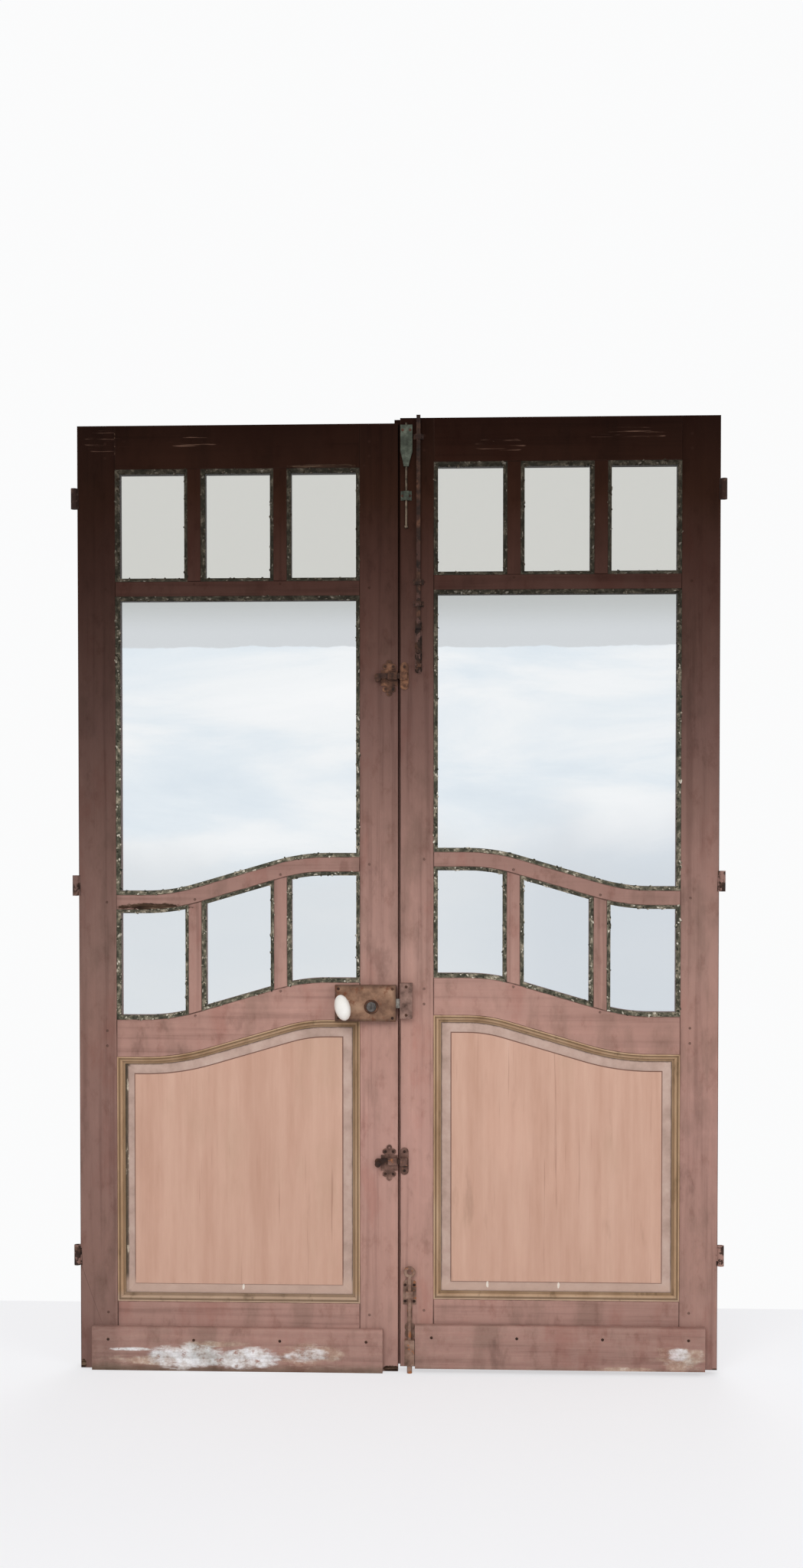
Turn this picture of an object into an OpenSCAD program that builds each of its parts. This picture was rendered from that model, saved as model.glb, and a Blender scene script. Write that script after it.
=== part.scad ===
/* [Leaves] */
// Height of each leaf
leaf_h = 2180; // [2000:1:2500]
// Thickness of the frame members
leaf_t = 38; // [36:1:50]
// Width between the stiles of a leaf, seen from the front
opening_w = 564; // [500:1:700]
// Width of the hinge stiles
hinge_stile_w = 87; // [80:1:120]
// Width of the left meeting stile with its lip
left_meeting_w = 88; // [84:1:120]
// Width of the right meeting stile without its tongue
right_meeting_w = 77; // [74:1:120]
// Gap between the front edges of the two leaves
leaf_gap = 5; // [4:0.5:6]
// Width of the lip that covers the tongue of the right leaf
lip_w = 12; // [8:0.5:16]
// Clearance all along the rebated meeting edges
meeting_fit = 1; // [0.6:0.1:1.5]
// How much higher the right leaf stands
right_lift = 12; // [6:0.5:16]

/* [Rails] */
// Height of the top rail
top_rail_h = 100; // [80:1:140]
// Height of the top lights
top_light_h = 257; // [200:1:320]
// Height of the straight rail below the top lights
light_rail_h = 34; // [30:1:50]
// Top of the curved bar at the hinge side
bar_z = 1102; // [1080:1:1130]
// Thickness of the curved bar
bar_h = 34; // [30:1:42]
// Top of the lock rail at the hinge side
lock_rail_z = 813; // [780:1:830]
// Height of the lock rail
lock_rail_h = 87; // [80:1:110]
// Height of the bottom rail
bottom_rail_h = 157; // [140:1:200]
// Width of the mullions
mullion_w = 31; // [26:1:40]

/* [Sweep] */
// Radius of both bends of the curved rails
sweep_r = 420; // [380:5:460]
// Length of the straight slope between the bends
slope_l = 194; // [160:1:200]
// Level stretch of the curved rails at the hinge side
sweep_start = 66; // [60:1:90]

/* [Joinery] */
// Thickness of the tenons
tenon_t = 13; // [10:0.5:16]
// Length of the tenons of the rails
tenon_l = 60; // [40:1:66]
// Length of the short tenons of the mullions
stub_l = 14; // [10:1:15]
// Width of the tenons of the mullions
stub_w = 20; // [16:1:24]
// Clearance of a tenon in its mortise
tenon_fit = 0.2; // [0.1:0.1:0.5]
// Radius of the oak pegs
peg_r = 3.2; // [2.5:0.1:4]
// Distance of the pegs from the shoulder
peg_in = 22; // [16:1:30]

/* [Glazing] */
// Depth of the glass rebate from the front
rebate_d = 16; // [14:0.5:20]
// Width of the glass rebate, filled with putty
putty_w = 9; // [7:0.5:11]
// Thickness of the glass
glass_t = 3; // [2:0.5:4]
// Clearance round each pane
glass_fit = 1; // [0.5:0.5:2]
// Depth of the putty's upper edge below the front face
putty_d = 1.5; // [1:0.1:3]

/* [Panels] */
// Depth of the groove that holds the panel
groove_d = 10; // [8:0.5:12]
// Thickness of the panel in its groove
tongue_t = 9; // [7:0.5:11]
// Room left for the panel to swell
panel_fit = 0.5; // [0.5:0.5:1.5]
// Width of the moulding round the panel
moulding_w = 17; // [14:0.5:22]
// Depth of the moulding's upper edge below the front face
moulding_d = 1.5; // [1:0.1:3]
// Radius of the moulding's hollow
hollow_r = 9; // [7:0.5:10]
// Width of the panel's bevelled margin
margin_w = 24; // [18:1:32]
// Depth of the raised field below the front face
field_d = 8; // [6:0.5:10]
// Height of the small step round the raised field
field_step = 2; // [1:0.5:3]
// Thickness left at the foot of the bevel
bevel_foot = 1; // [0.5:0.5:2]

/* [Kick boards] */
// Height of the kick boards
board_h = 100; // [80:1:120]
// Thickness of the kick boards
board_t = 16; // [16:0.5:22]
// Radius of the kick board's upper edge
board_r = 7; // [5:0.5:8]
// Distance of the kick boards from the outer edges
board_outer = 29; // [20:1:40]
// Distance of the left kick board from the meeting edge
board_left_inner = 35; // [30:1:50]
// Distance of the right kick board from the meeting edge
board_right_inner = 34.5; // [34.5:0.5:50]

/* [Hinges] */
// Height of the lowest hinge knuckles above the foot of a leaf
low_hinge_z = 241; // [200:1:300]
// Height of the middle hinge knuckles
mid_hinge_z = 1100; // [1000:1:1200]
// Distance of the highest hinge knuckles from the top of a leaf
high_hinge_in = 190; // [150:1:250]
// Length of a knuckle
knuckle_l = 47; // [40:1:60]
// Outer radius of a knuckle
knuckle_r = 7.5; // [6.5:0.1:9]
// Radius of the bore that takes the frame's pin
pin_bore_r = 4.5; // [3.5:0.1:5]
// Distance of the hinge axis from the leaf's edge
hinge_out = 7; // [6.5:0.1:8]
// Thickness of the hinge strap in the stile's edge
strap_t = 3; // [2:0.1:4]
// Width of the hinge strap
strap_w = 32; // [28:1:34]

/* [Lock] */
// Width of the lock case
case_w = 140; // [136:1:150]
// Height of the lock case
case_h = 83; // [80:1:90]
// Depth of the lock case
case_d = 20; // [18:0.5:26]
// Thickness of the lock's sheet metal
sheet_t = 2; // [1.5:0.1:2.5]
// Distance of the lock case from the meeting edge
case_in = 4; // [3:0.5:8]
// Height of the lock case's underside
case_z = 813; // [808:1:818]
// Distance of the knob's spindle from the meeting edge
knob_in = 124; // [122:0.5:124]
// Height of the knob's spindle
knob_z = 848; // [846:1:850]
// Distance of the key plug from the meeting edge
key_in = 60.5; // [56:0.5:64]
// Height of the key plug
key_z = 847; // [844:1:850]
// Height of the latch bolt's head
latch_h = 21; // [18:1:23]
// Thickness of the latch bolt's head
latch_t = 10; // [8:0.5:11]
// Room between the nose of a drawn bolt and its keeper
nose_gap = 0.8; // [0.6:0.1:1.2]
// Working radius of the follower's arm
arm_r = 20; // [19:0.5:20]
// Radius of the follower's hub
hub_r = 9; // [8:0.5:10]
// Side of the square spindle
spindle_w = 8; // [7:0.5:8]
// Running clearance of turning and sliding metal
run_fit = 0.05; // [0.03:0.01:0.1]
// Easy clearance of sliding metal
slide_fit = 0.3; // [0.2:0.1:0.5]
// Height of the olive-shaped knobs
olive_h = 60; // [50:1:70]
// Radius of the olive-shaped knobs
olive_r = 18; // [15:0.5:20]
// Tilt of the knobs at rest, in degrees
olive_tilt = -14; // [-20:1:0]

/* [Small bolts] */
// Height of the lower small bolt's plate
low_bolt_z = 485; // [300:1:600]
// Distance of the upper small bolt's plate from the top of a leaf
high_bolt_in = 580; // [480:1:680]
// Width of the small bolts' plates
small_plate_w = 38; // [34:1:39]
// Width of the sliding bars of the small bolts
small_bar_h = 12; // [10:1:14]
// Thickness of the sliding bars of the small bolts
small_bar_t = 6; // [5:0.5:7]
// Thickness of the ornamental plates
plate_t = 2; // [1.5:0.1:2.5]

/* [Long bolts] */
// Distance of the long top bolt from the meeting edge
top_bolt_in = 42; // [40:1:46]
// Width of the long top bolt
top_bolt_w = 9; // [8:0.5:10]
// Thickness of the long top bolt
top_bolt_t = 6; // [5:0.5:7]
// Foot of the long top bolt below the top of the leaf
top_bolt_l = 580; // [560:1:640]
// Distance of the bottom bolt from the meeting edge
bottom_bolt_in = 22; // [21:0.5:23]
// Radius of the bottom bolt's foot
bottom_bolt_r = 6; // [5:0.5:6.5]
// Distance of the top latch rod from the meeting edge
rod_in = 14; // [13:0.5:15]
// Radius of the top latch rod
rod_r = 2.5; // [2:0.1:2.8]

/* [Screws] */
// Radius of a screw's shank
screw_r = 1.7; // [1.4:0.1:2]
// Radius of a screw's countersunk head
head_r = 3.4; // [3:0.1:3.8]
// Length of a screw in the wood
screw_l = 16; // [12:1:20]
// Clearance round a screw
screw_fit = 0.05; // [0.02:0.01:0.1]

/* [Hidden] */
$fn = 48;
// Fine rounding for the wide bends of the curved rails
sweep_fn = 360;
// Overlap of cutting shapes past the faces they cut
eps = 1;

hinge_z = [low_hinge_z, mid_hinge_z, leaf_h - high_hinge_in];
// Edges of the opening between the stiles, measured from the leaf's outer edge
open_u0 = hinge_stile_w;
open_u1 = hinge_stile_w + opening_w;
left_w = hinge_stile_w + opening_w + left_meeting_w;
right_w = hinge_stile_w + opening_w + right_meeting_w;
left_outer_x = -leaf_gap / 2 - left_w;
right_outer_x = leaf_gap / 2 + right_w;
left_edge_x = -leaf_gap / 2;
right_edge_x = leaf_gap / 2;
top_rail_z = leaf_h - top_rail_h;
light_top_z = top_rail_z - top_light_h;
light_rail_z = light_top_z - light_rail_h;
rebate_mid = leaf_t / 2;
strap_screw_in = 10;
strap_screw_y = 20;
board_screw_in = 38;
board_screw_z = 72;
hinge_x = right_outer_x + hinge_out;
root_hinge = [hinge_x, 0, right_lift + hinge_z[0]];

// The curved rails follow a bend, a straight slope and a second bend. The slope rises 7 for 24 across,
// so its sine and cosine have two decimals, and so have all the points where a line meets a bend
slope_sin = 0.28;
slope_cos = 0.96;
sweep_a = atan2(7, 24);
bend_w = sweep_r * slope_sin;
bend_h = sweep_r * (1 - slope_cos);
sweep_rise = 2 * bend_h + slope_l * slope_sin;
low_u = open_u0 + sweep_start;
high_u = low_u + 2 * bend_w + slope_l * slope_cos;

// Tenons sit just behind the glass rebate
tenon_y = rebate_d + 1;
rail_tenon_trim = 15;
bar_tenon_trim = 5;
lock_bottom_z = lock_rail_z - lock_rail_h;
light_w = (opening_w - 2 * mullion_w) / 3;
mullion_u = [open_u0 + light_w, open_u0 + 2 * light_w + mullion_w];
stub_reach = stub_l + 1;
wood_top = "#4a2c22";
wood_mid = "#7a5850";
wood_low = "#a0746c";
rust = "#6b4a38";

// Lock, measured on the left leaf
case_x1 = left_edge_x - case_in;
case_x0 = case_x1 - case_w;
knob_x = left_edge_x - knob_in;
key_x = left_edge_x - key_in;
keeper_gap = 0.5;
keeper_x0 = right_edge_x + keeper_gap;
nose_x = keeper_x0 - nose_gap;
latch_y0 = -case_d / 2 - latch_t / 2;
latch_z0 = knob_z - 4;
tail_z0 = knob_z + 13;
tail_h = 16;
tail_t = 6;
tail_y0 = -case_d / 2 - tail_t / 2;
// Angle at which the follower's arm stands at rest, so that its travel is even to both sides
arm_rest_a = -10;
arm_tip_r = 3;
arm_t = 8;
arm_y0 = -case_d / 2 - arm_t / 2;
journal_r = 7;
back_plate_t = 1.5;
neck_l = 16;
neck_r = 7;
neck_flange_r = neck_r + 1.5;
spigot_r = 5;
spigot_l = 12;
olive_y = neck_l + olive_r - 2;
plug_r = 7;
plug_cap_r = 11.5;
plug_rim_t = 2;
plug_cap_t = 5;
key_slot_w = 2.4;
key_slot_l = 8.5;
key_slot_y = 2;
rose_r = 16.5;
rose_t = 3;
keeper_w = 28;
keeper_h = 81;
keeper_z = case_z + 7;
keeper_wall = 4;
keeper_depth = case_d;
pocket_z0 = latch_z0 - 6;
pocket_z1 = latch_z0 + latch_h + 18;
case_screw_in = 8;
head_x0 = case_x1 - 27;
mouth_w = arm_tip_r + 3.6;
tail_wall = 2.5;
// Room on either side of the arm's tip in its notch
arm_room = 1;
neck_base = 0.3;
// Depth of the spigot's bore, measured from the olive's middle towards the neck
spigot_end = olive_y - neck_l - spigot_l - 0.5;
spindle_hole_r = 7.5;
back_rose_r = 20;
barrel_l = 12;
tongue_gap = 3;

// Small bolts and their keepers
small_bolt_z = [low_bolt_z, leaf_h - high_bolt_in];
plate_x = left_edge_x - 1 - small_plate_w / 2;
// Room round a small bar in its keeper
keeper_room = 1;
small_body_h = 36;
lobe_x = 9;
lobe_z = 26;
lobe_r = 6.5;
end_lobe_z = 35;
neck_out = 12;
small_bar_up = 4;
sleeve_x0 = plate_x - 3;
sleeve_x1 = plate_x + small_plate_w / 2 - 1;
thumb_x = sleeve_x0 - 24;
thumb_r = 7;
small_keeper_w = 19;
small_keeper_screw = 22;
// Flat rim of a small keeper's plate beyond its loop
keeper_rim = 3;

// Hardware of the right leaf, measured on the right leaf
top_bolt_x = right_edge_x + top_bolt_in;
bottom_bolt_x = right_edge_x + bottom_bolt_in;
rod_x = right_edge_x + rod_in;
metal_gap = 0.2;
guide_in = [50, 380, 430];
guide_z = [for (d = guide_in) leaf_h - d];
guide_w = 24;
guide_h = 12;
handle_w = 16;
handle_l = 123;
handle_foot = 2;
handle_z0 = leaf_h - top_bolt_l - handle_foot;
handle_z1 = handle_z0 + handle_l;
handle_screw_in = 5;
handle_strap_in = 14;
handle_strap_h = 8;
strap_ear = 4;
top_bolt_out = 5;
top_knob_z = handle_z0 + 0.4 * handle_l;
cover_w = 27;
cover_x = right_edge_x + 1 + cover_w / 2;
cover_t = 7;
cover_top_in = 17;
cover_h = 69;
cover_z1 = leaf_h - cover_top_in;
cover_z0 = cover_z1 - cover_h;
cover_screw_out = 8.6;
cover_screw_in = 12;
// Depths of the steps in the spade shape below the cover, and its half widths there
spade_up = 8;
spade_step = 12;
spade_l = 25;
spade_step_w = 8;
spade_tip_w = 5.5;
staple_w = 25;
staple_h = 21;
staple_in = 188;
staple_z = leaf_h - staple_in;
staple_arch = 6;
rod_y = rod_r + slide_fit + metal_gap;
rod_top_in = 12;
rod_l = 236;
rod_ball_r = 4.2;
rod_z1 = leaf_h - rod_top_in;
rod_z0 = rod_z1 - rod_l;
shaft_r = 4;
foot_axis = 9.5;
foot_housing_w = 23;
foot_bracket_w = 30;
foot_bracket_lobe = foot_bracket_w / 4;
foot_z0 = 7;
foot_z1 = 65;
bracket_z0 = 145;
bracket_z1 = 194;
foot_screw_out = 10.5;
foot_plate_screw_z = [bracket_z0 + foot_bracket_lobe, bracket_z1 - foot_bracket_lobe / 2];
foot_neck_w = 12;
// Heights of the two round swellings above the foot bolt's housing
foot_lobe_up = [12, 28];
foot_loop_w = 16;
foot_loop_h = 16;
ring_r = 9.5;
ring_t = 4;
ring_z = 222;

// Holds every piece in one frame, whose origin is the mouth of the fixed leaf's lowest knuckle
module in_place() {
    translate(-root_hinge) children();
}

// Puts a leaf's piece, drawn from its outer edge inwards, on the left leaf
module at_left() {
    in_place() translate([left_outer_x, 0, 0]) children();
}

// The same for the right leaf, which mirrors the left
module at_right() {
    in_place() translate([right_outer_x, 0, right_lift]) mirror([1, 0, 0]) children();
}

// Extrudes a front outline between two depths below the front face
module slab(y0, y1) {
    translate([0, y1, 0]) rotate([90, 0, 0]) linear_extrude(y1 - y0) children();
}

module box(low, high) {
    translate(low) cube(high - low);
}

// Centres and ends of the bends for a line offset upwards by d
function bend_low(z) = [low_u, z + sweep_r];
function bend_high(z) = [high_u, z + sweep_rise - sweep_r];
function slope_foot(z, d) = bend_low(z) + (sweep_r - d) * [slope_sin, -slope_cos];
function slope_head(z, d) = bend_high(z) + (sweep_r + d) * [-slope_sin, slope_cos];

// Height of the curve above its low end, at a distance from the outer edge
function sweep_up(u) =
    u < low_u ? 0
    : u < low_u + bend_w ? sweep_r - sqrt(pow(sweep_r, 2) - pow(u - low_u, 2))
    : u < high_u - bend_w ? bend_h + (u - low_u - bend_w) * tan(sweep_a)
    : u < high_u ? sweep_rise - sweep_r + sqrt(pow(sweep_r, 2) - pow(high_u - u, 2))
    : sweep_rise;

// Area under the curve that starts at height z and is offset upwards by d. It is put together from upright
// strips, one for each stretch of the curve, so that no outline meets a circle at a tangent
module under_sweep(z, d, foot, inset = 0) {
    a = slope_foot(z, d);
    b = slope_head(z, d);
    top = z + sweep_rise + d;
    lap = 10;
    between([open_u0 + inset, foot], [low_u, z + d]);
    difference() {
        between([low_u, foot], [a.x, a.y + lap]);
        translate(bend_low(z)) circle(sweep_r - d, $fn = sweep_fn);
    }
    polygon([[a.x, foot], a, b, [b.x, foot]]);
    between([b.x, foot], [high_u, b.y - lap / 2]);
    intersection() {
        between([b.x, b.y - lap], [high_u, top + lap]);
        translate(bend_high(z)) circle(sweep_r + d, $fn = sweep_fn);
    }
    between([high_u, foot], [open_u1 - inset, top]);
}

// Rectangle between two corners
module between(low, high) {
    polygon([low, [high.x, low.y], high, [low.x, high.y]]);
}

// Curved strip between the offsets d0 and d1
module sweep_band(z, d0, d1, inset = 0) {
    foot = z + d0 - eps;
    difference() {
        under_sweep(z, d1, foot, inset);
        under_sweep(z, d0, foot - eps, inset - eps);
    }
}

// Straight stretch of a section whose points are [distance inwards, depth]
module run(l, section, side) {
    rotate([90, 0, 90]) linear_extrude(l) polygon([for (p = section) [p.y, -side * p.x]]);
}

// The same section along a curve, inwards below it with side 1 and above it with side -1
module along_sweep(z, d, side, section) {
    a = slope_foot(z, d);
    translate([open_u0, 0, z + d]) run(low_u - open_u0, section, side);
    intersection() {
        translate([low_u, 0, z + sweep_r]) rotate([90, 0, 0]) rotate([0, 0, -90])
            rotate_extrude(angle = 2 * sweep_a, $fn = sweep_fn)
                polygon([for (p = section) [sweep_r - d + side * p.x, -p.y]]);
        bend_wedge(bend_low(z), -1);
    }
    translate([a.x, 0, a.y]) rotate([0, -sweep_a, 0]) run(slope_l, section, side);
    intersection() {
        translate([high_u, 0, z + sweep_rise - sweep_r]) rotate([90, 0, 0]) rotate([0, 0, 90])
            rotate_extrude(angle = 2 * sweep_a, $fn = sweep_fn)
                polygon([for (p = section) [sweep_r + d - side * p.x, -p.y]]);
        bend_wedge(bend_high(z), 1);
    }
    translate([high_u, 0, z + sweep_rise + d]) run(open_u1 - high_u, section, side);
}

// Room between the upright end and the slanting end of a bend, seen from its centre
module bend_wedge(centre, up) {
    reach = 2 * sweep_r;
    slab(-leaf_t, 2 * leaf_t)
        polygon([centre, centre + [0, up * reach], centre + up * reach * [-slope_sin, slope_cos]]);
}

// Upright stretch of a section, from height z0 to z1, inwards to the right with side 1
module upright(u, z0, z1, side, section) {
    translate([u, 0, z0]) rotate([0, -90, 0]) run(z1 - z0, section, side);
}

// Outline of one light at the front, with all its edges moved in by inset
module top_light(i, inset) {
    translate([open_u0 + i * (light_w + mullion_w) + inset, light_top_z + inset])
        square([light_w - 2 * inset, top_rail_z - light_top_z - 2 * inset]);
}

module large_light(inset) {
    difference() {
        translate([open_u0 + inset, bar_z - eps])
            square([opening_w - 2 * inset, light_rail_z - inset - bar_z + eps]);
        under_sweep(bar_z, inset, bar_z - 2 * eps, -eps);
    }
}

module lower_light(i, inset) {
    intersection() {
        translate([open_u0 + i * (light_w + mullion_w) + inset, lock_rail_z - eps])
            square([light_w - 2 * inset, bar_z + sweep_rise - lock_rail_z]);
        difference() {
            under_sweep(bar_z, -bar_h - inset, lock_rail_z - 2 * eps);
            under_sweep(lock_rail_z, inset, lock_rail_z - 3 * eps, -eps);
        }
    }
}

// Heights of the tenons of all rails, with side 0 at the hinge stile and 1 at the meeting stile
function tenon_spans(side) = [
    [rail_tenon_trim, bottom_rail_h - rail_tenon_trim],
    [lock_bottom_z + side * sweep_rise + rail_tenon_trim, lock_rail_z + side * sweep_rise - rail_tenon_trim],
    [bar_z - bar_h + side * sweep_rise + bar_tenon_trim, bar_z + side * sweep_rise - bar_tenon_trim],
    [light_rail_z + bar_tenon_trim, light_top_z - bar_tenon_trim],
    [top_rail_z + rail_tenon_trim, leaf_h - 2 * rail_tenon_trim]
];

// Distance of a stile's shoulder, and the way into that stile
function shoulder(side) = side == 0 ? open_u0 : open_u1;
function outward(side) = side == 0 ? -1 : 1;

module tenon(side, i, fit) {
    s = tenon_spans(side)[i];
    far = shoulder(side) + outward(side) * (tenon_l + fit);
    near = shoulder(side) - outward(side) * (putty_w + eps);
    box([min(far, near), tenon_y - fit, s[0] - fit], [max(far, near), tenon_y + tenon_t + fit, s[1] + fit]);
}

module mortises(side) {
    for (i = [0:4]) tenon(side, i, tenon_fit);
}

// Pegs: two in each deep tenon, one in each narrow one, and one in each end of the mullions
function stile_pegs(side) = [
    for (i = [0:4]) let (s = tenon_spans(side)[i], deep = s[1] - s[0] > 3 * peg_in / 2)
        for (z = deep ? [s[0] + peg_in / 2, s[1] - peg_in / 2] : [(s[0] + s[1]) / 2])
            [shoulder(side) + outward(side) * peg_in, z]
];
function mullion_pegs() = [
    for (u = mullion_u) let (c = u + mullion_w / 2)
        for (z = [
            light_top_z - stub_l / 2,
            bar_z + sweep_up(c) - bar_h + stub_l / 2,
            lock_rail_z + sweep_up(c) - stub_l / 2
        ]) [c, z]
];
function all_pegs() = concat(stile_pegs(0), stile_pegs(1), mullion_pegs());

module peg_holes(points) {
    for (p = points)
        translate([p.x, -eps, p.y]) rotate([-90, 0, 0]) cylinder(h = leaf_t + 2 * eps, r = peg_r);
}

module pegs() {
    for (p = all_pegs())
        translate([p.x, 0, p.y]) rotate([-90, 0, 0]) cylinder(h = leaf_t, r = peg_r);
}

// Short tenons at both ends of the mullions, or their mortises
module stubs(fit) {
    for (u = mullion_u) {
        c = u + mullion_w / 2;
        for (z = [
            light_top_z, top_rail_z, lock_rail_z + sweep_up(c), bar_z + sweep_up(c) - bar_h
        ])
            box([c - stub_w / 2 - fit, tenon_y - fit, z - stub_reach - fit],
                [c + stub_w / 2 + fit, tenon_y + tenon_t + fit, z + stub_reach + fit]);
    }
}

// Groove in both stiles for the panel, on the side given
module stile_groove(side) {
    u = shoulder(side) + outward(side) * groove_d;
    near = shoulder(side) - outward(side) * eps;
    box([min(u, near), rebate_d, bottom_rail_h - groove_d],
        [max(u, near), rebate_d + tongue_t, lock_bottom_z + side * sweep_rise + groove_d]);
}

// Countersunk wood screw, pointing upwards, or the hole for it
module screw(l, fit = 0) {
    cylinder(h = head_r - screw_r, r1 = head_r + fit, r2 = screw_r + fit);
    cylinder(h = l + fit, r = screw_r + fit);
}

// Screws from the front, whose list holds [x, z, depth of the head, length]
module front_screws(list, fit = 0) {
    for (s = list) translate([s[0], s[2], s[1]]) rotate([-90, 0, 0]) screw(s[3], fit);
}

// Screws of the hinge straps, two in each
function strap_screws() = [
    for (z = hinge_z, up = [strap_screw_in, knuckle_l - strap_screw_in]) [z + up, strap_screw_y]
];

module hinge_screws(fit = 0) {
    for (s = strap_screws())
        translate([0, s[1], s[0]]) rotate([0, 90, 0]) screw(screw_l + strap_t, fit);
}

// Room in the stile's edge for the hinge straps and knuckles
module hinge_seats() {
    for (z = hinge_z) box([-eps, -eps, z], [strap_t, strap_w, z + knuckle_l]);
}

// Frame members, drawn from the outer edge of a leaf

module hinge_stile() {
    difference() {
        union() {
            slab(0, leaf_t) square([hinge_stile_w, leaf_h]);
            slab(rebate_d, leaf_t) translate([hinge_stile_w, lock_rail_z])
                square([putty_w, top_rail_z - lock_rail_z]);
        }
        mortises(0);
        stile_groove(0);
        peg_holes(stile_pegs(0));
        hinge_seats();
        hinge_screws(screw_fit);
    }
}

// Meeting stile: the front layer is front_w wide down to the split, the layer behind it back_w
module meeting_stile(front_w, back_w, split) {
    difference() {
        union() {
            slab(0, split) translate([open_u1, 0]) square([front_w, leaf_h]);
            slab(split, leaf_t) translate([open_u1, 0]) square([back_w, leaf_h]);
            slab(rebate_d, leaf_t) translate([open_u1 - putty_w, lock_rail_z + sweep_rise])
                square([putty_w, top_rail_z - lock_rail_z - sweep_rise]);
        }
        mortises(1);
        stile_groove(1);
        peg_holes(stile_pegs(1));
    }
}

module end_tenons(i) {
    difference() {
        for (side = [0, 1]) intersection() {
            tenon(side, i, 0);
            box([side * open_u1 - (1 - side) * eps, -eps, -eps], [open_u0 + side * leaf_h, leaf_t, leaf_h]);
        }
        peg_holes(concat(stile_pegs(0), stile_pegs(1)));
    }
}

module rail_blank(i) {
    children();
    end_tenons(i);
}

module top_rail() {
    difference() {
        rail_blank(4) {
            slab(0, leaf_t) translate([open_u0, top_rail_z]) square([opening_w, top_rail_h]);
            slab(rebate_d, leaf_t) translate([open_u0 + putty_w, top_rail_z - putty_w])
                square([opening_w - 2 * putty_w, putty_w]);
        }
        stubs(tenon_fit);
    }
}

module light_rail() {
    difference() {
        rail_blank(3) {
            slab(0, rebate_d) translate([open_u0, light_rail_z]) square([opening_w, light_rail_h]);
            slab(rebate_d, leaf_t) translate([open_u0 + putty_w, light_rail_z - putty_w])
                square([opening_w - 2 * putty_w, light_rail_h + 2 * putty_w]);
            narrow_neck(3);
        }
        stubs(tenon_fit);
        peg_holes(mullion_pegs());
    }
}

// Stretch of a narrow rail's tenon that passes behind the stile's rebate
module narrow_neck(i) {
    for (side = [0, 1]) {
        s = tenon_spans(side)[i];
        u = shoulder(side) - outward(side) * (putty_w + eps);
        box([min(u, shoulder(side)), tenon_y, s[0]], [max(u, shoulder(side)), tenon_y + tenon_t, s[1]]);
    }
}

module curved_bar() {
    difference() {
        rail_blank(2) {
            slab(0, rebate_d) sweep_band(bar_z, -bar_h, 0);
            slab(rebate_d, leaf_t) sweep_band(bar_z, -bar_h - putty_w, putty_w, putty_w);
            narrow_neck(2);
        }
        stubs(tenon_fit);
        peg_holes(mullion_pegs());
    }
}

module lock_rail() {
    difference() {
        rail_blank(1) {
            slab(0, leaf_t) sweep_band(lock_rail_z, -lock_rail_h, 0);
            slab(rebate_d, leaf_t) sweep_band(lock_rail_z, -eps, putty_w, putty_w);
        }
        stubs(tenon_fit);
        peg_holes(mullion_pegs());
        slab(rebate_d, rebate_d + tongue_t)
            sweep_band(lock_rail_z, -lock_rail_h - eps, -lock_rail_h + groove_d, -eps);
    }
}

module bottom_rail() {
    difference() {
        rail_blank(0) {
            slab(0, leaf_t) translate([open_u0, 0]) square([opening_w, bottom_rail_h]);
        }
        box([open_u0 - eps, rebate_d, bottom_rail_h - groove_d],
            [open_u1 + eps, rebate_d + tongue_t, bottom_rail_h + eps]);
    }
}

module mullions() {
    difference() {
        union() {
            for (u = mullion_u) {
                slab(0, rebate_d) translate([u, light_top_z]) square([mullion_w, top_rail_z - light_top_z]);
                slab(rebate_d, leaf_t) translate([u - putty_w, light_top_z + putty_w])
                    square([mullion_w + 2 * putty_w, top_rail_z - light_top_z - 2 * putty_w]);
                slab(0, rebate_d) lower_mullion(u, mullion_w, 0);
                slab(rebate_d, leaf_t) lower_mullion(u - putty_w, mullion_w + 2 * putty_w, putty_w);
            }
            stubs(0);
        }
        peg_holes(mullion_pegs());
    }
}

module lower_mullion(u, w, inset) {
    intersection() {
        translate([u, lock_rail_z - eps]) square([w, bar_z + sweep_rise - lock_rail_z]);
        difference() {
            under_sweep(bar_z, -bar_h - inset, lock_rail_z - 2 * eps);
            under_sweep(lock_rail_z, inset, lock_rail_z - 3 * eps, -eps);
        }
    }
}

// Panel with a raised field, a bevelled margin and a tongue all round
module panel() {
    m = moulding_w;
    f = moulding_w + margin_w;
    slab(rebate_d, rebate_d + tongue_t)
        under_sweep(lock_rail_z, -lock_rail_h + groove_d - panel_fit, bottom_rail_h - groove_d + panel_fit,
            panel_fit - groove_d);
    slab(field_d, rebate_d + eps) under_sweep(lock_rail_z, -lock_rail_h - f, bottom_rail_h + f, f);
    mitred_frame(
        [[m, rebate_d], [m, rebate_d - bevel_foot], [f, field_d + field_step], [f, rebate_d]], f + 2 * eps
    );
}

// Moulding round the panel: a flat edge, a hollow and a bead
module panel_moulding() {
    flat = 3;
    fillet = 2;
    mitred_frame(concat(
        [[0, rebate_d], [0, moulding_d], [flat, moulding_d]],
        [for (t = [0:15:90]) [flat + hollow_r * sin(t), moulding_d + fillet + hollow_r * (1 - cos(t))]],
        [[moulding_w, moulding_d + fillet + hollow_r], [moulding_w, rebate_d]]
    ), 2 * moulding_w);
}

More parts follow.
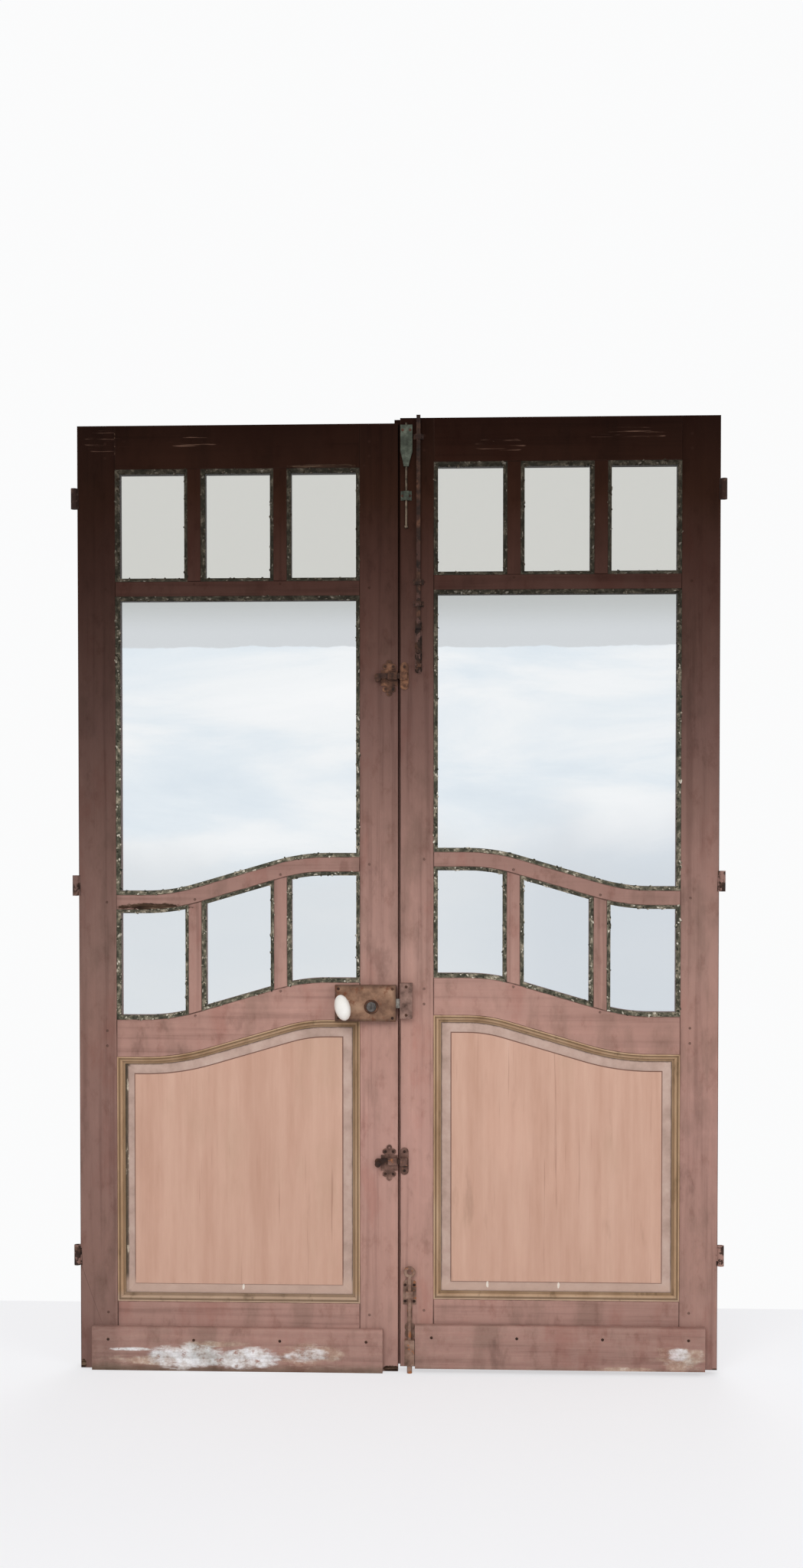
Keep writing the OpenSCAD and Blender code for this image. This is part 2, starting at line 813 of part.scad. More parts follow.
// Frame round the panel opening: four strips of one section, with mitres that reach w inwards
module mitred_frame(section, w) {
    zl = lock_bottom_z;
    zh = lock_bottom_z + sweep_rise;
    zb = bottom_rail_h;
    intersection() {
        upright(open_u0, zb, zl, -1, section);
        slab(0, leaf_t) mitred(open_u0, w, zb, zl);
    }
    intersection() {
        upright(open_u1, zb, zh, 1, section);
        slab(0, leaf_t) mitred(open_u1, -w, zb, zh);
    }
    intersection() {
        translate([open_u0, 0, zb]) run(opening_w, section, -1);
        slab(0, leaf_t)
            polygon([[open_u0, zb], [open_u1, zb], [open_u1 - w, zb + w], [open_u0 + w, zb + w]]);
    }
    difference() {
        along_sweep(lock_rail_z, -lock_rail_h, 1, section);
        slab(-eps, leaf_t) below_mitre(open_u0, w, zl);
        slab(-eps, leaf_t) below_mitre(open_u1, -w, zh);
    }
}

// Outline of an upright strip that starts at distance u, is w wide and is mitred at both ends
module mitred(u, w, z0, z1) {
    polygon([[u, z0], [u + w, z0 + abs(w)], [u + w, z1 - abs(w)], [u, z1]]);
}

// Corner below the mitre at height z, cut off the curved strip
module below_mitre(u, w, z) {
    polygon([[u, z], [u - sign(w) * eps, z], [u - sign(w) * eps, z - abs(w)], [u + w, z - abs(w)]]);
}

// Kick board with a rounded upper edge
module kick_board(u1) {
    l = u1 - board_outer;
    translate([board_outer, 0, 0]) {
        box([0, -board_t, 0], [l, 0, board_h - board_r]);
        box([0, -board_t + board_r, board_h - board_r - eps], [l, 0, board_h]);
        translate([0, -board_t + board_r, board_h - board_r]) rotate([0, 90, 0]) cylinder(h = l, r = board_r);
    }
}

module large_pane() {
    slab(rebate_d - glass_t, rebate_d) large_light(glass_fit);
}

module small_panes() {
    for (i = [0:2]) {
        slab(rebate_d - glass_t, rebate_d) top_light(i, glass_fit);
        slab(rebate_d - glass_t, rebate_d) lower_light(i, glass_fit);
    }
}

// Sloping fillets of putty round every pane
module putty() {
    back = rebate_d - glass_t;
    section = [[0, putty_d], [0, back], [putty_w, back]];
    for (i = [0:2]) {
        u = open_u0 + i * (light_w + mullion_w);
        intersection() {
            slab(0, back) top_light(i, 0);
            union() {
                upright(u, light_top_z, top_rail_z, -1, section);
                upright(u + light_w, light_top_z, top_rail_z, 1, section);
                translate([u, 0, light_top_z]) run(light_w, section, -1);
                translate([u, 0, top_rail_z]) run(light_w, section, 1);
            }
        }
        intersection() {
            slab(0, back) lower_light(i, 0);
            union() {
                upright(u, lock_rail_z, bar_z + sweep_rise, -1, section);
                upright(u + light_w, lock_rail_z, bar_z + sweep_rise, 1, section);
                along_sweep(lock_rail_z, 0, -1, section);
                along_sweep(bar_z, -bar_h, 1, section);
            }
        }
    }
    intersection() {
        slab(0, back) large_light(0);
        union() {
            upright(open_u0, bar_z, light_rail_z, -1, section);
            upright(open_u1, bar_z, light_rail_z, 1, section);
            translate([open_u0, 0, light_rail_z]) run(opening_w, section, 1);
            along_sweep(bar_z, 0, -1, section);
        }
    }
}

// Leaf halves of the lift-off hinges: a strap let into the stile's edge and a bored knuckle
module hinge_straps() {
    difference() {
        for (z = hinge_z) {
            box([0, 0, z], [strap_t, strap_w, z + knuckle_l]);
            box([-hinge_out, 0, z], [strap_t, knuckle_r, z + knuckle_l]);
            translate([-hinge_out, 0, z]) cylinder(h = knuckle_l, r = knuckle_r);
        }
        for (z = hinge_z)
            translate([-hinge_out, 0, z - eps]) cylinder(h = knuckle_l + 2 * eps, r = pin_bore_r);
        hinge_screws(screw_fit);
    }
}

// Places of the screws on the two leaves

function lock_screws() = [
    for (x = [case_x0 + case_screw_in, case_x1 - case_screw_in], z = [case_screw_in, case_h - case_screw_in])
        [x, case_z + z, -case_d, screw_l + case_d]
];
function plate_screws() = [
    for (z = small_bolt_z, x = [-1, 1], s = [-1, 1])
        [plate_x + x * lobe_x, z + s * lobe_z, -plate_t, screw_l]
];
function board_screws(u0, u1, outer_x, side, lift) = [
    for (k = [0:3])
        let (u = u0 + board_screw_in + k * (u1 - u0 - 2 * board_screw_in) / 3)
            [outer_x + side * u, lift + board_screw_z, -board_t, screw_l + board_t]
];
function left_front() = concat(
    lock_screws(), plate_screws(),
    board_screws(board_outer, left_w - board_left_inner, left_outer_x, 1, 0)
);
function keeper_screws() = [
    for (s = [-1, 1]) [keeper_x0 + keeper_w / 2, keeper_z + keeper_h / 2 + s * (keeper_h / 2 - case_screw_in),
        -keeper_depth, screw_l + keeper_depth]
];
function small_keeper_screws() = [
    for (z = small_bolt_z, s = [-1, 1])
        [keeper_x0 + small_keeper_w / 2, bar_centre(z) + s * small_keeper_screw, -plate_t, screw_l]
];
function guide_screws() = [
    for (z = guide_z, s = [-1, 1])
        [top_bolt_x + s * (guide_w / 2 - strap_ear), right_lift + z + guide_h / 2, -plate_t, screw_l]
];
function handle_plate_screws() = [
    for (z = [handle_z0 + handle_screw_in, handle_z1 - handle_screw_in])
        [top_bolt_x, right_lift + z, -plate_t, screw_l]
];
function staple_screws() = [
    for (s = [-1, 1])
        [rod_x + s * (staple_w / 2 - strap_ear), right_lift + staple_z + staple_h / 2, -plate_t, screw_l]
];
function latch_cover_screws() = [
    for (s = [-1, 1])
        [cover_x + s * cover_screw_out, right_lift + cover_z1 - cover_screw_in, -cover_t, screw_l + cover_t]
];
function bottom_plate_screws() = [
    for (z = foot_plate_screw_z, s = [-1, 1])
        [bottom_bolt_x + s * foot_screw_out, right_lift + z, -plate_t, screw_l]
];
function right_front() = concat(
    keeper_screws(), small_keeper_screws(), guide_screws(), handle_plate_screws(), staple_screws(),
    latch_cover_screws(), bottom_plate_screws(),
    board_screws(board_outer, right_w - board_right_inner, right_outer_x, -1, right_lift)
);

// Lock: a sheet metal case, open towards the leaf and closed by a back plate

module lock_body() {
    difference() {
        box([case_x0, -case_d, case_z], [case_x1, 0, case_z + case_h]);
        box([case_x0 + sheet_t, sheet_t - case_d, case_z + sheet_t],
            [case_x1 - sheet_t, eps, case_z + case_h - sheet_t]);
        translate([knob_x, -case_d - eps, knob_z]) rotate([-90, 0, 0])
            cylinder(h = sheet_t + 2 * eps, r = journal_r + run_fit);
        translate([key_x, -case_d - eps, key_z]) rotate([-90, 0, 0])
            cylinder(h = sheet_t + 2 * eps, r = plug_r + run_fit);
        box([case_x1 - sheet_t - eps, latch_y0 - slide_fit, latch_z0 - slide_fit],
            [case_x1 + eps, latch_y0 + latch_t + slide_fit, latch_z0 + latch_h + slide_fit]);
        front_screws(lock_screws(), screw_fit);
    }
}

module back_plate() {
    inset = sheet_t + metal_gap;
    difference() {
        box([case_x0 + inset, -back_plate_t, case_z + inset], [case_x1 - inset, 0, case_z + case_h - inset]);
        translate([knob_x, -back_plate_t - eps, knob_z]) rotate([-90, 0, 0])
            cylinder(h = back_plate_t + 2 * eps, r = journal_r + run_fit);
        front_screws(lock_screws(), screw_fit);
    }
}

// Latch bolt: a head with a slanting nose, and a tail with a notch for the follower's arm
module latch() {
    notch_x = knob_x + arm_r * arm_rest_a * PI / 180;
    notch_top = knob_z + arm_r + arm_tip_r + eps;
    slot = arm_tip_r + arm_room;
    slot_z = knob_z + arm_r * cos(arm_rest_a) - arm_tip_r / 2;
    difference() {
        union() {
            slab_xy(latch_z0, latch_z0 + latch_h) polygon([
                [head_x0, latch_y0], [nose_x, latch_y0], [nose_x, latch_y0 + 2],
                [nose_x - latch_t + 2, latch_y0 + latch_t], [head_x0, latch_y0 + latch_t]
            ]);
            box([head_x0, latch_y0, latch_z0], [head_x0 + latch_h / 2, latch_y0 + latch_t, tail_z0 + tail_h]);
            box([notch_x - mouth_w - tail_wall, tail_y0, tail_z0],
                [head_x0 + eps, tail_y0 + tail_t, tail_z0 + tail_h]);
        }
        slab(tail_y0 - eps, tail_y0 + tail_t + eps) polygon([
            [notch_x - mouth_w, tail_z0 - eps], [notch_x + mouth_w, tail_z0 - eps],
            [notch_x + slot, slot_z], [notch_x + slot, notch_top],
            [notch_x - slot, notch_top], [notch_x - slot, slot_z]
        ]);
    }
}

// Extrudes a plan outline upwards from z0 to z1
module slab_xy(z0, z1) {
    translate([0, 0, z0]) linear_extrude(z1 - z0) children();
}

module square_hole(y0, y1, fit) {
    w = spindle_w / 2 + fit;
    box([-w, y0, -w], [w, y1, w]);
}

// Follower: a hub turned by the square spindle, whose arm draws the latch
module follower() {
    hub_y0 = sheet_t - case_d + slide_fit;
    hub_y1 = -back_plate_t - slide_fit;
    translate([knob_x, 0, knob_z]) difference() {
        union() {
            translate([0, hub_y0, 0]) rotate([-90, 0, 0]) cylinder(h = hub_y1 - hub_y0, r = hub_r);
            translate([0, -case_d, 0]) rotate([-90, 0, 0]) cylinder(h = case_d - metal_gap, r = journal_r);
            rotate([0, arm_rest_a, 0]) {
                box([-arm_tip_r, arm_y0, 0], [arm_tip_r, arm_y0 + arm_t, arm_r]);
                translate([0, arm_y0, arm_r]) rotate([-90, 0, 0]) cylinder(h = arm_t, r = arm_tip_r);
            }
        }
        square_hole(-case_d - eps, eps, run_fit);
    }
}

// Turned neck, revolved about the spindle and pointing upwards
module neck() {
    rotate_extrude() polygon([
        [0, 0], [neck_flange_r, 0], [neck_flange_r, 2], [neck_r - 1, 4], [neck_r - 1.5, neck_l - 5],
        [neck_r, neck_l - 3], [neck_r, neck_l], [0, neck_l]
    ]);
}

// Square spindle with the front neck in one piece
module spindle() {
    translate([knob_x, 0, knob_z]) {
        square_hole(-case_d - neck_base - eps, leaf_t + neck_l / 2, 0);
        translate([0, -case_d - neck_base, 0]) rotate([90, 0, 0]) {
            neck();
            cylinder(h = neck_l + spigot_l, r = spigot_r);
        }
    }
}

// Olive: an ellipse turned about its long axis, bored for its neck along y
module olive(y, toward) {
    translate([knob_x, y, knob_z]) difference() {
        rotate([0, olive_tilt, 0]) rotate_extrude() polygon(
            [for (t = [-90:7.5:90]) [abs(t) == 90 ? 0 : olive_r * cos(t), olive_h / 2 * sin(t)]]
        );
        rotate([toward * 90, 0, 0]) {
            translate([0, 0, spigot_end]) cylinder(h = olive_r, r = spigot_r + run_fit);
            translate([0, 0, olive_y - neck_l]) cylinder(h = olive_r, r = neck_r + run_fit);
        }
    }
}

module collar() {
    translate([knob_x, 0, knob_z]) difference() {
        translate([0, leaf_t + neck_base, 0]) rotate([-90, 0, 0]) {
            neck();
            cylinder(h = neck_l + spigot_l, r = spigot_r);
        }
        square_hole(leaf_t - eps, leaf_t + neck_l / 2 + eps, run_fit);
    }
}

module rose_back() {
    translate([knob_x, leaf_t, knob_z]) rotate([-90, 0, 0]) difference() {
        cylinder(h = plate_t, r1 = back_rose_r, r2 = back_rose_r - plate_t);
        translate([0, 0, -eps]) cylinder(h = plate_t + 2 * eps, r = neck_flange_r + slide_fit);
    }
}

module rose_key() {
    translate([key_x, -case_d, key_z]) rotate([90, 0, 0]) difference() {
        cylinder(h = rose_t, r1 = rose_r, r2 = rose_r - 1.5);
        translate([0, 0, -eps]) cylinder(h = rose_t + 2 * eps, r = plug_cap_r + slide_fit);
    }
}

// Key plug: a domed cap with a keyhole, on a barrel that turns in the case
module plug() {
    translate([key_x, -case_d, key_z]) rotate([90, 0, 0]) difference() {
        union() {
            translate([0, 0, metal_gap]) rotate_extrude() polygon(concat(
                [[0, 0], [plug_cap_r, 0]],
                [for (t = [0:15:75]) [plug_cap_r * cos(t), plug_rim_t + (plug_cap_t - plug_rim_t) * sin(t)]],
                [[0, plug_cap_t]]
            ));
            translate([0, 0, -barrel_l]) cylinder(h = barrel_l + 2 * metal_gap, r = plug_r);
        }
        box([-key_slot_w / 2, -eps, key_slot_y], [key_slot_w / 2, key_slot_l, plug_cap_t + eps]);
    }
}

module keeper_box() {
    difference() {
        box([keeper_x0, -keeper_depth, keeper_z], [keeper_x0 + keeper_w, 0, keeper_z + keeper_h]);
        box([keeper_x0 - eps, keeper_wall - keeper_depth, pocket_z0],
            [keeper_x0 + keeper_w - keeper_wall, -keeper_wall + 1, pocket_z1]);
        front_screws(keeper_screws(), screw_fit);
    }
}

// Small slide bolts of the left leaf

// Ornamental outline: a square body with a neck and three lobes at either end
module lobed_outline(w) {
    square([w, small_body_h], center = true);
    for (s = [-1, 1]) {
        translate([0, s * (small_body_h / 2 + neck_out / 2)]) square([w * 0.36, neck_out], center = true);
        for (x = [-1, 1]) translate([x * lobe_x, s * lobe_z]) circle(lobe_r);
        translate([0, s * end_lobe_z]) circle(lobe_r);
    }
}

function bar_centre(z) = z + small_bar_up;

// Plate with a sleeve for the bar, and a hole in each end lobe
module small_plate(z) {
    sleeve_y = -plate_t - small_bar_t - 2 * metal_gap - sheet_t;
    half = small_bar_h / 2 + metal_gap;
    difference() {
        union() {
            translate([plate_x, 0, z]) slab(-plate_t, 0) difference() {
                lobed_outline(small_plate_w);
                for (s = [-1, 1]) translate([0, s * end_lobe_z]) circle(lobe_r / 3);
            }
            box([sleeve_x0, sleeve_y, bar_centre(z) - half - sheet_t],
                [sleeve_x1, -plate_t, bar_centre(z) + half + sheet_t]);
        }
        box([sleeve_x0 - eps, sleeve_y + sheet_t, bar_centre(z) - half],
            [sleeve_x1 + eps, -plate_t, bar_centre(z) + half]);
        front_screws(plate_screws(), screw_fit);
    }
}

// Sliding bar with a curled thumb piece at its tail
module small_bar(z) {
    y1 = -plate_t - metal_gap;
    y0 = y1 - small_bar_t;
    h = small_bar_h / 2;
    c = bar_centre(z);
    box([thumb_x, y0, c - h], [nose_x, y1, c + h]);
    translate([thumb_x, 0, c]) slab(y0, y1) circle(h);
    translate([thumb_x + 1, 0, c - h]) slab(y0 - 5, y1) circle(thumb_r);
}

module small_keeper(z) {
    c = bar_centre(z);
    half = small_bar_h / 2 + keeper_room;
    loop_y = -plate_t - small_bar_t - 2 * keeper_room;
    difference() {
        union() {
            translate([keeper_x0 + small_keeper_w / 2, 0, c]) slab(-plate_t, 0) {
                square([small_keeper_w, 2 * small_keeper_screw], center = true);
                for (s = [-1, 1]) translate([0, s * small_keeper_screw]) circle(small_keeper_w / 2);
            }
            box([keeper_x0, loop_y - sheet_t, c - half - sheet_t],
                [keeper_x0 + small_keeper_w - keeper_rim, -plate_t, c + half + sheet_t]);
        }
        box([keeper_x0 - eps, loop_y, c - half], [keeper_x0 + small_keeper_w, -plate_t, c + half]);
        front_screws(small_keeper_screws(), screw_fit);
    }
}

// Long bolt at the top of the right leaf

// Strap over a sliding bar of width w and thickness t, that starts at height z
module strap(x, z, w, t, plate_w, h) {
    half = w / 2 + metal_gap;
    out = plate_t + t + 2 * metal_gap;
    difference() {
        union() {
            box([x - plate_w / 2, -plate_t, z], [x + plate_w / 2, 0, z + h]);
            box([x - half - sheet_t, -out - sheet_t, z], [x + half + sheet_t, -plate_t, z + h]);
        }
        box([x - half, -out, z - eps], [x + half, -plate_t, z + h + eps]);
    }
}

module top_guides() {
    difference() {
        union() {
            for (z = guide_z) strap(top_bolt_x, z, top_bolt_w, top_bolt_t, guide_w, guide_h);
            translate([top_bolt_x, 0, (handle_z0 + handle_z1) / 2]) slab(-plate_t, 0) {
                square([handle_w, handle_z1 - handle_z0 - handle_w], center = true);
                for (s = [-1, 1])
                    translate([0, s * (handle_z1 - handle_z0 - handle_w) / 2]) circle(handle_w / 2);
            }
            for (z = [handle_z0 + handle_strap_in, handle_z1 - handle_strap_in - handle_strap_h])
                strap(top_bolt_x, z, top_bolt_w, top_bolt_t, handle_w, handle_strap_h);
        }
        translate([0, 0, -right_lift]) front_screws(concat(guide_screws(), handle_plate_screws()), screw_fit);
    }
}

module long_bolt() {
    y1 = -plate_t - metal_gap;
    y0 = y1 - top_bolt_t;
    w = top_bolt_w / 2;
    box([top_bolt_x - w, y0, leaf_h - top_bolt_l + w], [top_bolt_x + w, y1, leaf_h + top_bolt_out]);
    translate([top_bolt_x, 0, leaf_h - top_bolt_l + w]) slab(y0, y1) circle(w);
    translate([top_bolt_x, y1 - top_bolt_t / 2, top_knob_z]) rotate([90, 0, 0]) rotate_extrude() polygon([
        [0, 0], [3, 0], [3, 8], [6, 10], [6.5, 13], [5, 16], [0, 17]
    ]);
}

// Small latch at the top of the right leaf: a spade-shaped cover, a staple and a rod

module latch_guides() {
    c = cover_x;
    w = cover_w / 2;
    channel = rod_r + slide_fit;
    difference() {
        union() {
            slab(-cover_t, 0) polygon([
                [c - w, cover_z1], [c - w, cover_z0 + spade_up],
                [rod_x - spade_step_w, cover_z0 - spade_step],
                [rod_x - spade_tip_w, cover_z0 - spade_l], [rod_x + spade_tip_w, cover_z0 - spade_l],
                [rod_x + spade_step_w, cover_z0 - spade_step],
                [c + w, cover_z0 + spade_up], [c + w, cover_z1]
            ]);
            box([rod_x - staple_w / 2, -plate_t, staple_z], [rod_x + staple_w / 2, 0, staple_z + staple_h]);
            box([rod_x - staple_arch, -cover_t, staple_z],
                [rod_x + staple_arch, -plate_t, staple_z + staple_h]);
        }
        box([rod_x - channel, -rod_y - channel, staple_z - eps], [rod_x + channel, eps, cover_z1 + eps]);
        translate([0, 0, -right_lift]) front_screws(concat(staple_screws(), latch_cover_screws()), screw_fit);
    }
}

module latch_rod() {
    translate([rod_x, -rod_y, 0]) {
        translate([0, 0, rod_z0]) cylinder(h = rod_z1 - rod_z0, r = rod_r);
        translate([0, rod_r - rod_ball_r, rod_z0]) sphere(rod_ball_r, $fn = 32);
    }
}

// Bolt at the foot of the right leaf: a plate with a housing and a bracket, and a round rod with a ring

module foot_plate() {
    axis_y = -foot_axis;
    difference() {
        union() {
            translate([bottom_bolt_x, 0]) slab(-plate_t, 0) {
                translate([-foot_housing_w / 2, foot_z0]) square([foot_housing_w, foot_z1 - foot_z0]);
                for (up = foot_lobe_up) translate([0, foot_z1 + up]) circle(foot_housing_w / 2);
                translate([-foot_neck_w / 2, foot_z1]) square([foot_neck_w, bracket_z0 - foot_z1 + eps]);
                translate([-foot_bracket_w / 2, bracket_z0])
                    square([foot_bracket_w, bracket_z1 - bracket_z0]);
                for (s = [-1, 1]) translate([s * foot_bracket_lobe, bracket_z1]) circle(foot_bracket_lobe);
            }
            box([bottom_bolt_x - foot_housing_w / 2, -foot_axis - bottom_bolt_r - sheet_t, foot_z0],
                [bottom_bolt_x + foot_housing_w / 2, -plate_t, foot_z1]);
            translate([bottom_bolt_x, 0, (bracket_z0 + bracket_z1) / 2]) box(
                [-foot_loop_w / 2, -foot_axis - shaft_r - sheet_t, -foot_loop_h / 2],
                [foot_loop_w / 2, -plate_t, foot_loop_h / 2]);
        }
        translate([bottom_bolt_x, axis_y, foot_z0 - eps])
            cylinder(h = foot_z1 - foot_z0 + 2 * eps, r = bottom_bolt_r + run_fit);
        translate([bottom_bolt_x, axis_y, bracket_z0]) cylinder(h = bracket_z1, r = shaft_r + run_fit);
        translate([0, 0, -right_lift]) front_screws(bottom_plate_screws(), screw_fit);
    }
}

module foot_bolt() {
    translate([bottom_bolt_x, -foot_axis, 0]) {
        translate([0, 0, -right_lift]) cylinder(h = foot_z1 + right_lift, r = bottom_bolt_r);
        cylinder(h = ring_z - ring_r, r = shaft_r);
        translate([0, 0, ring_z]) rotate([90, 0, 0]) rotate_extrude() translate([ring_r, 0]) circle(ring_t);
    }
}

module right_piece() {
    in_place() translate([0, 0, right_lift]) children();
}

// The nodes

module left_hinge_stile() {
    color(wood_mid) difference() {
        at_left() hinge_stile();
        in_place() front_screws(left_front(), screw_fit);
    }
}

module left_meeting_stile() {
    color(wood_mid) difference() {
        at_left() meeting_stile(left_meeting_w, left_meeting_w - lip_w, rebate_mid);
        in_place() front_screws(left_front(), screw_fit);
    }
}

module left_top_rail() {
    color(wood_top) at_left() top_rail();
}

module left_light_rail() {
    color(wood_top) at_left() light_rail();
}

module left_curved_bar() {
    color(wood_mid) at_left() curved_bar();
}

module left_lock_rail() {
    color(wood_low) difference() {
        at_left() lock_rail();
        in_place() front_screws(lock_screws(), screw_fit);
        in_place() translate([knob_x, -eps, knob_z]) rotate([-90, 0, 0])
            cylinder(h = leaf_t + 2 * eps, r = spindle_hole_r);
    }
}

module left_bottom_rail() {
    color(wood_low) difference() {
        at_left() bottom_rail();
        in_place() front_screws(left_front(), screw_fit);
    }
}

module left_mullions() {
    color(wood_mid) at_left() mullions();
}

module left_panel() {
    color("#c9a08c") at_left() panel();
}

module left_panel_moulding() {
    color("#8d7448") at_left() panel_moulding();
}

module left_kick_board() {
    color(wood_low) difference() {
        at_left() kick_board(left_w - board_left_inner);
        in_place() front_screws(left_front(), screw_fit);
    }
}

module left_large_pane() {
    color("#c8d2da", 0.4) at_left() large_pane();
}

module left_small_panes() {
    color("#c8d2da", 0.4) at_left() small_panes();
}

module left_putty() {
    color("#39403a") at_left() putty();
}

module left_pegs() {
    color("#2e1c16") at_left() pegs();
}

module left_hinge_straps() {
    color(rust) at_left() hinge_straps();
}

module right_hinge_stile() {
    color(wood_mid) difference() {
        at_right() hinge_stile();
        in_place() front_screws(right_front(), screw_fit);
    }
}

module right_meeting_stile() {
    color(wood_mid) difference() {
        at_right() meeting_stile(right_meeting_w, right_meeting_w + leaf_gap + lip_w - tongue_gap,
            rebate_mid + meeting_fit);
        in_place() front_screws(right_front(), screw_fit);
    }
}

module right_top_rail() {
    color(wood_top) at_right() top_rail();
}

module right_light_rail() {
    color(wood_top) at_right() light_rail();
}

module right_curved_bar() {
    color(wood_mid) at_right() curved_bar();
}

module right_lock_rail() {
    color(wood_low) at_right() lock_rail();
}

module right_bottom_rail() {
    color(wood_low) difference() {
        at_right() bottom_rail();
        in_place() front_screws(right_front(), screw_fit);
    }
}

module right_mullions() {
    color(wood_mid) at_right() mullions();
}

module right_panel() {
    color("#c9a08c") at_right() panel();
}

module right_panel_moulding() {
    color("#8d7448") at_right() panel_moulding();
}

module right_kick_board() {
    color(wood_low) difference() {
        at_right() kick_board(right_w - board_right_inner);
        in_place() front_screws(right_front(), screw_fit);
    }
}

module right_large_pane() {
    color("#c8d2da", 0.4) at_right() large_pane();
}

module right_small_panes() {
    color("#c8d2da", 0.4) at_right() small_panes();
}

module right_putty() {
    color("#39403a") at_right() putty();
}

module right_pegs() {
    color("#2e1c16") at_right() pegs();
}

module right_hinge_straps() {
    color(rust) at_right() hinge_straps();
}

module lock_case() {
    color("#8a6248") in_place() lock_body();
}

module lock_back_plate() {
    color(rust) in_place() back_plate();
}

module latch_bolt() {
    color("#a9a096") in_place() latch();
}

module lock_follower() {
    color(rust) in_place() follower();
}

module knob_spindle() {
    color("#8a7a5a") in_place() spindle();
}

module front_knob() {
    color("#f2efe6") in_place() olive(-case_d - neck_base - olive_y, -1);
}

module back_knob() {
    color("#f2efe6") in_place() olive(leaf_t + neck_base + olive_y, 1);
}

module back_collar() {
    color("#8a7a5a") in_place() collar();
}

module back_rose() {
    color("#8a7a5a") in_place() rose_back();
}

module key_rose() {
    color(rust) in_place() rose_key();
}

module key_plug() {
    color("#6f6a66") in_place() plug();
}

module lock_keeper() {
    color(rust) in_place() keeper_box();
}

module lower_bolt_plate() {
    color(rust) in_place() small_plate(small_bolt_z[0]);
}

module lower_bolt_bar() {
    color("#5a3f30") in_place() small_bar(small_bolt_z[0]);
}

module lower_bolt_keeper() {
    color(rust) in_place() small_keeper(small_bolt_z[0]);
}

module upper_bolt_plate() {
    color(rust) in_place() small_plate(small_bolt_z[1]);
}

module upper_bolt_bar() {
    color("#5a3f30") in_place() small_bar(small_bolt_z[1]);
}

module upper_bolt_keeper() {
    color(rust) in_place() small_keeper(small_bolt_z[1]);
}

module top_bolt_guides() {
    color(rust) right_piece() top_guides();
}

module top_bolt() {
    color("#4a3026") right_piece() long_bolt();
}

module top_latch_guides() {
    color("#6a6c60") right_piece() latch_guides();
}

module top_latch_rod() {
    color("#9a9488") right_piece() latch_rod();
}

module bottom_bolt_plate() {
    color(rust) right_piece() foot_plate();
}

module bottom_bolt() {
    color("#6d5a48") right_piece() foot_bolt();
}

module left_screws() {
    color("#5b4638") {
        in_place() front_screws(left_front());
        at_left() hinge_screws();
    }
}

module right_screws() {
    color("#5b4638") {
        in_place() front_screws(right_front());
        at_right() hinge_screws();
    }
}

left_hinge_stile();
left_meeting_stile();
left_top_rail();
left_light_rail();
left_curved_bar();
left_lock_rail();
left_bottom_rail();
left_mullions();
left_panel();
left_panel_moulding();
left_kick_board();
left_large_pane();
left_small_panes();
left_putty();
left_pegs();
left_hinge_straps();
right_hinge_stile();
right_meeting_stile();
right_top_rail();
right_light_rail();
right_curved_bar();
right_lock_rail();
right_bottom_rail();
right_mullions();
right_panel();
right_panel_moulding();
right_kick_board();
right_large_pane();
right_small_panes();
right_putty();
right_pegs();
right_hinge_straps();
lock_case();
lock_back_plate();
latch_bolt();
lock_follower();
knob_spindle();
front_knob();
back_knob();
back_collar();
back_rose();
key_rose();
key_plug();
lock_keeper();
upper_bolt_plate();
upper_bolt_bar();
upper_bolt_keeper();
lower_bolt_plate();
lower_bolt_bar();
lower_bolt_keeper();
top_bolt_guides();
top_bolt();
top_latch_guides();
top_latch_rod();
bottom_bolt_plate();
bottom_bolt();
left_screws();
right_screws();
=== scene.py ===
import math

import bmesh
import bpy
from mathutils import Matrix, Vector


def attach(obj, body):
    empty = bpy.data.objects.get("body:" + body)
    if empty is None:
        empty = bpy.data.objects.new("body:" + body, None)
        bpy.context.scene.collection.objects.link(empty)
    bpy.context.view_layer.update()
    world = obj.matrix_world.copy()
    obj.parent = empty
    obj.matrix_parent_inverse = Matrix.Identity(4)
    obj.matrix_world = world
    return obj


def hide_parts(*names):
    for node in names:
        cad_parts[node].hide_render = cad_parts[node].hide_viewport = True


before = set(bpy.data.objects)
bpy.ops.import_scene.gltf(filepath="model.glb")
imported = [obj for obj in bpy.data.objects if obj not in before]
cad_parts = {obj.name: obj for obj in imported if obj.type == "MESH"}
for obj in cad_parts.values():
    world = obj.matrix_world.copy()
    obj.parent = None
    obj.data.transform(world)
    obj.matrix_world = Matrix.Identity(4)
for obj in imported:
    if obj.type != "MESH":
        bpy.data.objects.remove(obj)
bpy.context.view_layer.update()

# Sizes here are in millimetres in the doors' own plan: x from the gap between the leaves, y back
# from the front face, z up from the floor. The next three functions turn them into metres in the
# part's frame. Inside the finishes, depths are in metres and patterns in cycles a metre.
PART_ORIGIN = (737.5, 0.0, 253.0)
MM = 1000


def place(x, y, z):
    return Vector((value - origin) / MM for value, origin in zip((x, y, z), PART_ORIGIN))


def x_at(x):
    return place(x, 0, 0).x


def z_at(z):
    return place(0, 0, z).z


def paint(red, green, blue):
    """A colour as read off a screen, from 0 to 255, as the linear colour that shaders take."""
    def linear(value):
        value /= 255
        return value / 12.92 if value <= 0.04045 else ((value + 0.055) / 1.055) ** 2.4
    return (linear(red), linear(green), linear(blue), 1.0)


def add_object(name, data):
    thing = bpy.data.objects.new(name, data)
    bpy.context.scene.collection.objects.link(thing)
    return thing


class Nodes:
    """A node tree, in which a socket is fed another node's output or a plain value."""

    def feed(self, socket, value):
        if isinstance(value, bpy.types.NodeSocket):
            self.tree.links.new(value, socket)
        else:
            socket.default_value = value


